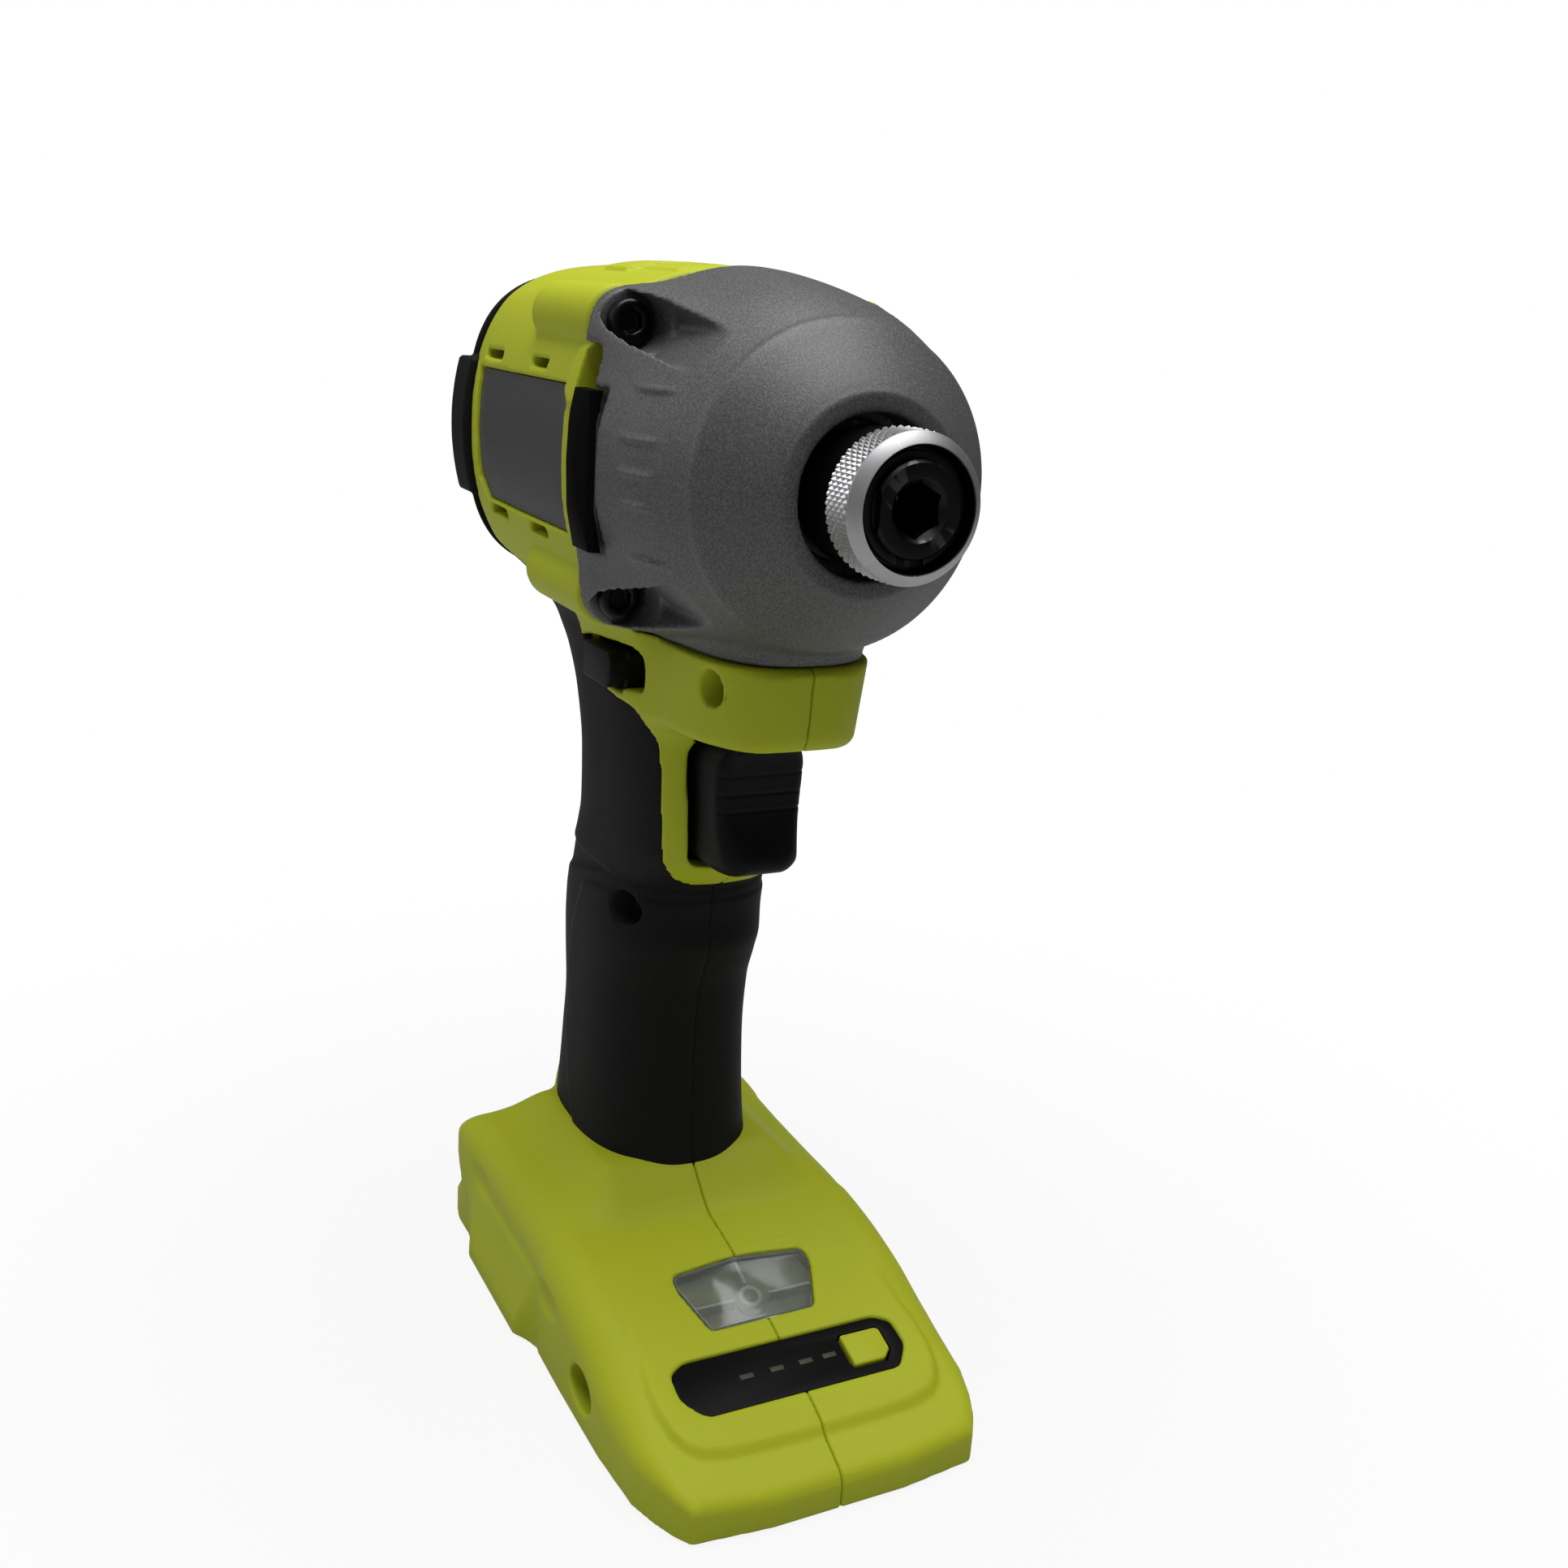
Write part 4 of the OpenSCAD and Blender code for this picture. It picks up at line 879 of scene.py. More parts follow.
@dataclass
class BodyForms:
    """Outer forms that the housing, the grip and the bumpers share."""

    bump_u: float = -107.6
    back_u: float = -116.3
    front_u: float = -52.2
    front_edge_r: float = 1.2
    side_edge_r: float = 1.5
    back_edge_r: float = 3.0
    side_bow: float = 43.0
    skin_t: float = 1.8
    head_skin_t: float = 1.2
    handle_zs: tuple[float, float] = (8.0, 126.0)
    handle_even: float = 0.92
    guard_half_w: float = 14.0
    guard_len: float = 18.7
    guard_mid_u: float = -42.0
    guard_zs: tuple[float, float] = (100.0, 121.4)
    foot_half_w: float = 29.5
    foot_slope: float = 16.7
    foot_front: tuple[float, float] = (-1.8, 9.6)
    lens_u: float = -29.3
    panel_u: float = -14.6
    level_u: float = -44.0
    hill_u: float = -46.0
    hill_len: float = 11.5
    hill_rise: float = 6.2
    hill_half_w: float = 14.5
    hill_fade: float = 5.6
    head_rows: Rows = (
        (-116.3, 17.5, 17.4, 2.5), (-114.6, 21.6, 21.7, 2.55), (-111.5, 24.4, 24.9, 2.6),
        (-107.6, 25.5, 26.2, 2.6), (-104.0, 26.4, 27.1, 2.65), (-96.0, 27.1, 27.6, 2.7),
        (-80.0, 27.5, 28.0, 2.7), (-62.0, 27.6, 28.0, 2.6), (-40.0, 27.6, 27.8, 2.45),
    )
    cap_rows: Rows = (
        (-116.3, 17.5, 17.4, 2.5), (-115.6, 20.0, 20.0, 2.55), (-114.2, 22.2, 22.4, 2.65),
        (-111.5, 24.4, 24.9, 2.8), (-107.6, 25.5, 26.2, 2.95), (-100.0, 26.0, 26.6, 2.95),
    )
    side_rows: Rows = (
        (-118.0, 24.2), (-104.0, 26.3), (-96.0, 27.0), (-80.0, 27.4), (-62.0, 27.46), (-40.0, 27.46),
    )
    handle_rows: Rows = (
        (10.0, -52.4, -97.0, 17.8), (14.0, -52.6, -96.8, 17.4), (20.0, -53.2, -96.3, 16.4),
        (25.0, -54.0, -96.0, 15.6), (32.0, -55.3, -95.6, 14.9), (42.0, -56.3, -95.0, 14.4),
        (50.0, -56.7, -94.4, 14.2), (58.0, -56.2, -95.0, 14.4), (64.0, -54.2, -95.2, 14.7),
        (68.0, -52.9, -95.0, 14.8), (72.0, -53.2, -94.0, 14.8), (78.0, -52.3, -92.2, 14.8),
        (82.0, -47.6, -91.2, 14.8), (86.0, -44.0, -90.6, 14.8), (96.0, -43.0, -90.8, 15.0),
        (106.0, -43.4, -93.0, 15.6), (113.0, -44.5, -96.4, 16.4), (118.0, -46.0, -100.4, 17.4),
        (123.0, -46.0, -104.0, 18.4), (130.0, -46.0, -106.0, 19.0),
    )
    soft_region: Rows = (
        (-118.0, 128.0), (-104.0, 127.4), (-95.0, 126.2), (-85.4, 124.9), (-77.2, 123.2),
        (-72.6, 122.2), (-71.6, 120.0), (-72.2, 116.6), (-70.0, 113.0), (-66.4, 112.0),
        (-65.4, 111.2), (-63.6, 110.1), (-60.0, 109.6), (-55.0, 109.4), (-52.6, 109.0),
        (-51.0, 107.2), (-49.9, 103.0), (-49.4, 97.9), (-49.3, 92.6), (-49.3, 88.5),
        (-49.4, 85.2), (-50.1, 82.4), (-50.7, 80.6), (-51.0, 79.8), (-49.0, 79.4),
        (-30.0, 79.4), (-30.0, 20.6), (-54.0, 20.6), (-58.0, 24.6), (-62.0, 27.6),
        (-84.0, 27.6), (-89.6, 29.0), (-92.0, 40.0), (-94.0, 49.0), (-118.0, 52.0),
    )
    guard_outline: Rows = (
        (-62, 123.5), (-23.2, 123.5), (-23.3, 113), (-23.5, 110.8), (-25, 109.1), (-28, 108.4), (-62, 108.2),
    )
    lip_rows: Rows = ((-30.0, 0.0), (-20.0, 0.8), (-8.0, 1.5), (3.0, 1.7))
    deck_half: Rows = ((-60, -20.5), (-24, -22.4), (-14.5, -23.8), (-7.4, -22.4), (-4.5, -18.6), (-4.0, -8))
    tail_outline: Rows = (
        (-104.9, -8), (-104.3, 7), (-101.6, 13), (-97.6, 18.6), (-92, 23.5), (-88, 28), (-50, 60), (30, 60),
        (30, -8),
    )
    rim_rows: Rows = (
        (-100.0, 4.0), (-90.0, 5.0), (-50.0, 6.5), (-24.0, 6.5), (-12.0, 4.6), (-3.0, 2.2), (3.0, 1.4),
    )
    dents: Rows = ((-46.0, 12.5, 5.5), (-81.5, 14.5, 4.0))
    dome_rows: Rows = (
        (-53.0, 28.5), (-48.0, 28.2), (-44.0, 27.8), (-40.0, 27.3), (-36.0, 26.7), (-32.0, 26.0),
        (-28.0, 25.0), (-24.0, 23.7), (-20.6, 22.45),
    )
    ear_rows: Rows = (
        (-53.0, 1.0), (-48.0, 0.86), (-44.0, 0.7), (-40.0, 0.54), (-36.0, 0.36), (-32.0, 0.18),
        (-28.0, 0.05), (-24.0, 0.0),
    )
    ear_rise: float = 4.4
    ear_angle: float = 44.1
    ear_spread: float = 12.5
    dome_half_w: float = 27.6
    dome_us: tuple[float, float] = (-52.0, -20.6)

    def rings(self, g: Grid, rows: Rows, inset: float) -> Array:
        """Field of ovals along u.

        Args:
            g: space of the field.
            rows: place, half width, half height and power of each oval.
            inset: distance inside the ovals.

        Returns:
            The field, cut at the front and at the back.
        """
        a, b, n = (g.along_u([(r[0], r[i]) for r in rows]) for i in (1, 2, 3))
        ring = oval_field(g.y, g.w, a - inset, b - inset, n)
        ring = meet(ring, g.u - self.front_u, self.front_edge_r)
        return meet(ring, self.back_u + inset - g.u, self.back_edge_r)

    def side_face(self, g: Grid) -> Array:
        """Height above the bulging sides of the head."""
        return np.abs(g.y) + g.w**2 / np.float32(2 * self.side_bow) - g.along_u(self.side_rows)

    def head(self, g: Grid, inset: float = 0.0) -> Array:
        """Field of the head, from the rear cap to the hammer case."""
        return meet(self.rings(g, self.head_rows, inset), self.side_face(g) + inset, self.side_edge_r)

    def cap(self, g: Grid) -> Array:
        """Field of the soft cap behind the head."""
        return self.rings(g, self.cap_rows, 0.0)

    def handle(self, g: Grid, inset: float = 0.0) -> Array:
        """Field of the handle."""
        front, back, half = (g.along_z([(r[0], r[i]) for r in self.handle_rows]) for i in (1, 2, 3))
        ring = oval_field(g.u - (front + back) / 2, g.y, (front - back) / 2 - inset, half - inset, BOXY)
        return np.maximum(ring * np.float32(self.handle_even), g.slab("z", *self.handle_zs))

    def guard_plan(self, g: Grid, inset: float) -> Array:
        """Plan of the finger guard, as a field over u and y."""
        ahead = np.maximum(g.u - self.guard_mid_u, 0)
        nose = oval_field(ahead, g.y, self.guard_len - inset, self.guard_half_w - inset, BOXY)
        return np.where(g.u > self.guard_mid_u, nose, np.abs(g.y) - self.guard_half_w + inset)

    def guard(self, g: Grid) -> Array:
        """Field of the finger guard above the trigger, with its draft towards the front."""
        ahead = np.clip((g.u - self.guard_mid_u) / 10.0, 0, 1)
        draft = ahead * np.clip(122.0 - g.z, 0, 20) * np.float32(0.1)
        solid = meet(self.guard_plan(g, 0.0) + draft, g.side_outline(self.guard_outline, 1), 1.6)
        return np.maximum(solid, g.slab("z", *self.guard_zs))

    def foot_top(self, u: Union[float, Array]) -> Union[float, Array]:
        """Height of the sloping foot top along u."""
        return self.foot_front[1] + (self.foot_front[0] - u) * math.tan(math.radians(self.foot_slope))

    def foot_plan(self, inset: float) -> list[tuple[float, float]]:
        """Plan of the foot as an outline over u and y."""
        d, h = inset, self.foot_half_w
        side = [
            (2.7 - d, 22.8 - d), (-2.6 - d / 2, h - 3.2 - d), (-12, h - 0.2 - d), (-48, h - d),
            (-52, h - 0.8 - d), (-84, h - 0.8 - d), (-88, h - d), (-96 + d / 2, h - d),
            (-100 + d / 2, h - 2.4 - d), (-103.4 + d, h - 7 - d), (-104.6 + d, h - 13 - d),
        ]
        return side + [(u, -y) for u, y in reversed(side)]

    def foot_crown(self, g: Grid) -> Array:
        """Height of the foot's top: its slope, its level back and the hill up to the handle."""
        level = self.foot_top(self.level_u)
        below = self.foot_top(g.u) - level
        share = np.clip(0.5 - below / 9.0, 0, 1)
        crown = level + below * share - 4.5 * share * (1 - share)
        climb = np.clip((self.hill_u - g.u) / self.hill_len, 0, 1)
        beside = np.maximum(np.abs(g.y) - self.hill_half_w, 0) / self.hill_fade
        return crown + ease(climb, self.hill_rise) * np.exp(-beside * beside)

    def foot_flare(self, g: Grid) -> Array:
        """Field of the flared sides at the middle of the foot."""
        y, h = np.abs(g.y), self.foot_half_w
        section = [(h - 5, -1), (h + 2.1, -1), (h + 2.0, 2.6), (h + 1.2, 5.6), (h - 0.9, 11.8), (h - 5, 12)]
        plan = [(-87, h - 6), (-87, h - 1), (-81, h + 2.2), (-56, h + 2.2), (-51.6, h - 1), (-51.6, h - 6)]
        return meet(outline_field(section, y, g.z), outline_field(plan, g.u, y), 0.6)

    def foot(self, g: Grid) -> Array:
        """Field of the battery foot."""
        deck = list(self.deck_half) + [(u, -y) for u, y in reversed(self.deck_half)]
        edge = np.clip(g.plan_outline(deck, 1) / 1.5 + 0.5, 0, 1)
        drop = ease(edge, g.along_u(self.lip_rows))
        top = (g.z - self.foot_crown(g) + drop) * math.cos(math.radians(self.foot_slope))
        nose = (g.u - 2.7) * 0.55 + (g.z - 5.6) * 0.84
        tail = np.maximum(g.side_outline(self.tail_outline), WELL_INSIDE)
        tail = np.where(g.u < -60, tail, WELL_INSIDE)
        solid = meet(g.plan_outline(self.foot_plan(0.0), 1), top, g.along_u(self.rim_rows))
        solid = meet(meet(solid, nose, 1.6), tail, 2.0)
        solid = join(solid, self.foot_flare(g), 2.0)
        beside = (np.abs(g.y) - self.foot_half_w - 0.4) / 1.5
        for u0, z0, length in self.dents:
            dent = np.sqrt(((g.u - u0) / length) ** 2 + beside**2 + ((g.z - z0) / 2.6) ** 2)
            solid = carve(solid, (dent - 1) * 1.5, 0.5)
        return meet(solid, -g.z, 0.6)

    def dome(self, g: Grid, grow: float) -> Array:
        """Field of the hammer case's dome with its screw ears."""
        turn = np.degrees(np.arctan2(np.abs(g.w), np.abs(g.y) + 1e-6)) - self.ear_angle
        swell = np.exp(-((turn / self.ear_spread) ** 2))
        ear = self.ear_rise * g.along_u(self.ear_rows) * swell
        ring = g.radius() - g.along_u(self.dome_rows) - ear - grow
        ring = meet(ring * np.float32(0.97), np.abs(g.y) - self.dome_half_w - grow, 0.8)
        return np.maximum(ring, g.slab("u", self.dome_us[0] - grow, self.dome_us[1]))

    def outer(self, g: Grid) -> Array:
        """Field of head, handle, guard and foot together."""
        solid = join(self.head(g), self.handle(g), 4.0)
        solid = join(solid, self.guard(g), 4.5)
        return join(solid, self.foot(g), 1.2)

    def soft(self, g: Grid) -> Array:
        """Field over u and z of the side where the handle is soft."""
        return g.side_outline(self.soft_region, 1)

    @staticmethod
    def trigger_waist(g: Grid, taper: float) -> Array:
        """How much narrower the trigger and its mouth get below and above their middle."""
        below = np.clip(100.0 - g.z, 0, 16) * np.float32(taper)
        return below + 1.9 * np.clip((g.z - 102.6) / 4.6, 0, 1.3) ** 2


@dataclass
class HousingShell:
    """Two green housing halves."""

    forms: BodyForms
    bench: Bench
    step: float
    seam: float = 0.05
    reach: float = 33.0
    most_faces: int = 170000
    case_gap: float = 0.35
    wall_t: float = 3.8
    post_r: float = 4.2
    post_len: float = 13.0
    thread_r: float = 1.65
    thread_len: float = 11.0
    screw_places: Rows = ((-31.0, 117.4), (-57.6, 77.0), (-29.0, 7.4), (-97.4, 9.6))
    # Each mouth is its place along u and z, its stretch along u, its radius and where its floor lies.
    screw_mouths: Rows = (
        (-32.1, 117.4, 0.78125, 2.8, 1.5), (-60.3, 73.6, 1.0, 4.0, 8.2), (-29.4, 6.8, 1.3, 3.5, 5.6),
        (-97.8, 9.0, 1.3, 3.5, 5.6),
    )
    plate_outline: Rows = (
        (-102.2, 157.1), (-56.6, 157.5), (-56.6, 135.7), (-96.8, 135.7), (-100.6, 139.0), (-101.2, 145.2),
    )
    tab_outline: Rows = (
        (-57.0, 154.0), (-47.4, 155.6), (-46.8, 160.4), (-48.2, 162.9), (-51.0, 163.4), (-57.0, 163.2),
    )
    selector_outline: Rows = (
        (-73.0, 115.8), (-71.5, 117.4), (-69.5, 118.1), (-54.8, 119.0), (-51.6, 118.0), (-50.6, 115.4),
        (-50.8, 112.4), (-52.6, 111.9), (-64.0, 111.6), (-69.0, 111.4), (-72.0, 113.4),
    )
    # Each pad is its two ends along u, its rise and its half width.
    ridge_pads: Rows = ((-78.0, -68.6, 0.6, 13.0), (-66.8, -54.0, 0.35, 11.0))
    # Each vent is its middle along u, its height above the spindle and its length.
    vents: Rows = ((-95, 12.2, 10.0), (-71.5, 12.3, 7.4), (-91, -12.9, 9.6), (-70.5, -12.9, 8.2))
    # Each bore is its radius and its two ends along u.
    bores: Rows = ((24.6, -79.4, -40.0), (23.6, -106.6, -78.0), (6.05, -112.5, -106.0))
    lens_plan: Rows = (
        (-7.6, 0), (-6.1, 11.6), (-3.4, 12.0), (5.7, 8.5), (5.9, -10.0), (-3.4, -12.4), (-6.1, -11.8),
    )
    panel_plan: Rows = (
        (-5.1, 16.9), (-3.5, 19.3), (1.2, 19.5), (4.9, 16.7), (4.9, -16.7), (1.2, -19.5), (-3.5, -19.3),
        (-5.1, -16.9),
    )

    def side_frame(self, g: Grid, solid: Array) -> Array:
        """Add the tongues and tabs of the sides, the screw bosses behind the ears and the ridge on top."""
        y = np.abs(g.y)
        face = self.forms.side_face(g)
        tongue = meet(g.block((-54.0, -42.3), (25.3, 27.0), (135.2, 157.6), 0.3), face, 0.3)
        tab = meet(g.side_outline(self.tab_outline, 1), face - 0.45, 0.8)
        for s in (-1, 1):
            ring = np.sqrt((y - 20.2) ** 2 + (g.w - s * 19.6) ** 2)
            solid = join(solid, meet(ring - 5.1, g.slab("u", -77.0, -52.3), 1.2), 0.8)
        for low, high, rise, half in self.ridge_pads:
            top = meet(self.forms.rings(g, self.forms.head_rows, -rise), y - half, 0.4)
            pad = common(meet(top, g.slab("u", low, high), 0.4), 165.0 - g.z)
            solid = join(solid, pad, 0.3)
        return join(np.minimum(solid, tongue), common(tab, 22.6 - y), 0.4)

    def pockets(self, g: Grid, solid: Array) -> Array:
        """Cut the plate recess, the vents, the selector pocket and the foot's windows."""
        f, y = self.forms, np.abs(g.y)
        solid = cut(solid, 0.35, g.side_outline(self.plate_outline), -(f.side_face(g) + 1.62))
        solid = cut(solid, 0.2, g.block((-118.0, -105.5), (24.1, 40.0), (135.1, 158.3), 0.0))
        for u, w, length in self.vents:
            vent = meet(g.slab("u", u - length / 2, u + length / 2), np.abs(g.w - w) - 0.75, 0.5)
            solid = cut(solid, 0.3, vent, 19.0 - y)
        solid = cut(solid, 0.5, g.side_outline(self.selector_outline, 1), 10.6 - y)
        solid = cut(solid, 0.0, g.slab("u", -69.4, -56.6), g.slab("z", 111.0, 117.4))
        slope = math.radians(f.foot_slope)
        deep = -6.0 - (g.z - f.foot_top(g.u)) * math.cos(slope)
        for u0, plan, r in ((f.lens_u, self.lens_plan, 0.35), (f.panel_u, self.panel_plan, 0.5)):
            along = (g.u - u0) * math.cos(slope) - (g.z - f.foot_top(u0)) * math.sin(slope)
            solid = cut(solid, r, self.window(plan, along, g.y), deep)
        return solid

    @staticmethod
    def window(plan: Points, along: Array, y: Array) -> Array:
        """Field of a convex window from its straight sides."""
        mid = np.mean(np.array(plan), 0)
        found: Optional[Array] = None
        for (x0, y0), (x1, y1) in zip(plan, list(plan[1:]) + [plan[0]]):
            nx, ny = y1 - y0, x0 - x1
            size = math.hypot(nx, ny)
            if (mid[0] - x0) * nx + (mid[1] - y0) * ny > 0:
                nx, ny = -nx, -ny
            plane = (along - x0) * (nx / size) + (y - y0) * (ny / size)
            found = plane if found is None else meet(found, plane, 0.8)
        return found

    def hollows(self, g: Grid, solid: Array) -> Array:
        """Cut the inner spaces, the trigger mouth, the battery bay and the lamp chamber."""
        f, y = self.forms, np.abs(g.y)
        solid = cut(solid, 0.3, f.dome(g, self.case_gap))
        solid = cut(solid, 0.0, f.guard_plan(g, 0.6), g.slab("z", 121.4, 134.0))
        for r, low, high in self.bores:
            solid = cut(solid, 0.0, g.radius() - r, g.slab("u", low, high))
        inner = f.handle(g, self.wall_t)
        solid = cut(solid, 0.0, inner, g.slab("z", 10.0, 124.0))
        solid = cut(solid, 0.0, f.guard_plan(g, 2.6), g.slab("z", 109.6, 119.6))
        mouth = meet(y - 8.8 + f.trigger_waist(g, 0.07), g.slab("z", 85.1, 108.1), 1.6)
        solid = cut(solid, 0.6, mouth, g.slab("u", -60.0, -15.0))
        solid = cut(solid, 0.0, y - 8.6, g.slab("z", 106.0, 110.5), g.slab("u", -60.0, -32.6))
        solid = cut(solid, 0.4, g.plan_outline(f.foot_plan(2.4)), g.z - 1.5)
        bay = meet(g.plan_outline(f.foot_plan(3.4)), g.slab("u", -93.0, -50.5), 2.0)
        solid = cut(solid, 0.6, bay, g.z - 8.8)
        solid = cut(solid, 0.6, inner, g.z - 20.0)
        under_top = g.z - f.foot_top(g.u) + 2.4
        return cut(solid, 0.0, y - 21.0, g.slab("u", -45.0, -5.0), 3.6 - g.z, under_top)

    def screws(self, g: Grid, solid: Array, side: Side) -> Array:
        """Add the screws' posts in guard and handle, and drill all their holes.

        Args:
            g: space of the field.
            solid: field of the half.
            side: which half it is; the right one has the open mouths.

        Returns:
            The field with posts and holes.
        """
        f, y = self.forms, np.abs(g.y)
        guard_post, handle_post = (
            common(g.rod_along_y(self.post_r, u, z), y - self.post_len) for u, z in self.screw_places[:2]
        )
        guard_post = carve(common(guard_post, f.guard(g) + 0.4), f.dome(g, self.case_gap))
        solid = np.minimum(solid, common(guard_post, g.z - 121.2))
        solid = np.minimum(solid, common(handle_post, f.handle(g, 2.0)))
        for (u, z), (mouth_u, mouth_z, stretch, r, floor) in zip(self.screw_places, self.screw_mouths):
            if side is Side.RIGHT:
                ring = np.sqrt(((g.u - mouth_u) / stretch) ** 2 + (g.z - mouth_z) ** 2)
                solid = cut(solid, 0.3, ring - r, g.y + floor)
            solid = cut(solid, 0.0, g.rod_along_y(self.thread_r, u, z), y - self.thread_len)
        return solid

    def build(self, side: Side) -> bpy.types.Object:
        """Mesh one half and dress it."""
        f = self.forms
        right, left = side.span(self.reach)
        g = Grid((-110.0, right, -1.5), (5.0, left, 178.0), self.step)
        solid = self.side_frame(g, f.outer(g))
        soft = common(f.soft(g), -f.handle(g, f.skin_t), -f.head(g, f.head_skin_t)) - 0.12
        solid = carve(solid, soft, 0.3)
        solid = np.minimum(solid, common(f.foot(g), -f.handle(g, 0.9)))
        solid = meet(solid, f.bump_u + 0.05 - g.u, 0.3)
        solid = self.hollows(g, self.pockets(g, solid))
        solid = self.screws(g, solid, side)
        solid = np.maximum(solid, self.seam - side.value * g.y)
        name = side.named("housing")
        piece = self.bench.from_field("shell_" + name, g, solid, self.most_faces)
        return self.bench.dress(piece, SHELL_GREEN, Body.CASE, "shell_green", [name])


@dataclass
class SoftGrip:
    """Black soft skin of the handle and of the head's underside."""

    forms: BodyForms
    bench: Bench
    step: float
    seam: float = -0.1
    reach: float = 33.0
    most_faces: int = 110000
    screw_mouth: tuple[float, float] = (-60.3, 73.6)
    panel_outline: Rows = (
        (-72.5, 76.0), (-76.0, 70.0), (-81.5, 58.0), (-82.5, 46.0), (-79.0, 35.0), (-73.0, 26.5),
        (-64.0, 22.0), (-30, 18), (-30, 76.0),
    )

    def surface(self, g: Grid) -> Array:
        """Field of the skin's outside, sunk above the low line and around the side panel."""
        body = join(self.forms.head(g), self.forms.handle(g), 4.0)
        line = 78.9 - 1.2 * np.clip((g.u + 60.0) / 8.0, 0, 1) - 3.4 * np.clip((-64.0 - g.u) / 13.0, 0, 2)
        body = body + 0.45 * (1 - ease(np.clip((line - g.z) / 1.6 + 0.5, 0, 1)))
        rim = np.clip(g.side_outline(self.panel_outline, 2) / 1.2 + 0.5, 0, 1)
        return body + ease(rim, 0.35) * (g.z < 79.0)

    def build(self, side: Side) -> bpy.types.Object:
        """Mesh one half and dress it."""
        f = self.forms
        right, left = side.span(self.reach)
        g = Grid((-112.0, right, 14.0), (-24.0, left, 134.0), self.step)
        y = np.abs(g.y)
        body = self.surface(g)
        solid = meet(body, f.soft(g), 0.35)
        solid = carve(solid, np.minimum(f.handle(g, f.skin_t), f.head(g, f.head_skin_t)))
        solid = carve(solid, f.guard(g) - 0.2)
        solid = meet(solid, f.bump_u - 0.4 - g.u, 0.2)
        solid = cut(solid, 0.3, g.slab("u", -70.9, -56.0), g.slab("z", 110.8, 118.0), 15.0 - y)
        solid = cut(solid, 0.3, y - 7.4, g.slab("z", 86.0, 107.1), g.slab("u", -60.0, -15.0))
        if side is Side.RIGHT:
            lining = common(g.rod_along_y(3.9, *self.screw_mouth), g.y + 8.3, body + 0.3)
            solid = np.minimum(solid, lining)
            solid = cut(solid, 0.5, g.rod_along_y(2.9, *self.screw_mouth), g.y + 9.0)
        solid = np.maximum(solid, self.seam - side.value * g.y)
        name = side.named("grip")
        piece = self.bench.from_field("skin_" + name, g, solid, self.most_faces)
        return self.bench.dress(piece, SOFT_BLACK, Body.CASE, "soft_black", [name])


@dataclass
class RearBumper:
    """Black soft cap on the back of the head, in two halves."""

    forms: BodyForms
    bench: Bench
    step: float
    seam: float = 0.05
    reach: float = 29.0
    most_faces: int = 40000
    pad_face: float = 27.1
    core_half_w: float = 22.0
    core_half_h: float = 22.4

    def build(self, side: Side) -> bpy.types.Object:
        """Mesh one half and dress it."""
        f = self.forms
        right, left = side.span(self.reach)
        g = Grid((-118.0, right, 117.0), (-103.0, left, 177.0), self.step)
        solid = meet(f.cap(g), g.u - f.bump_u + 0.1, 0.4)
        face = np.abs(g.y) + g.w**2 / (2 * f.side_bow) - self.pad_face
        pad = meet(g.block((-113.2, -105.6), (20.0, 28.0), (135.2, 158.2), 0.5), face, 0.6)
        solid = join(solid, pad, 0.5)
        core = oval_field(g.y, g.w, np.float32(self.core_half_w), np.float32(self.core_half_h), BOXY)
        solid = cut(solid, 0.0, core, -114.0 - g.u)
        solid = np.maximum(solid, self.seam - side.value * g.y)
        name = side.named("rear_bumper")
        piece = self.bench.from_field("cap_" + name, g, solid, self.most_faces)
        return self.bench.dress(piece, SOFT_BLACK, Body.CASE, "soft_black", [name])


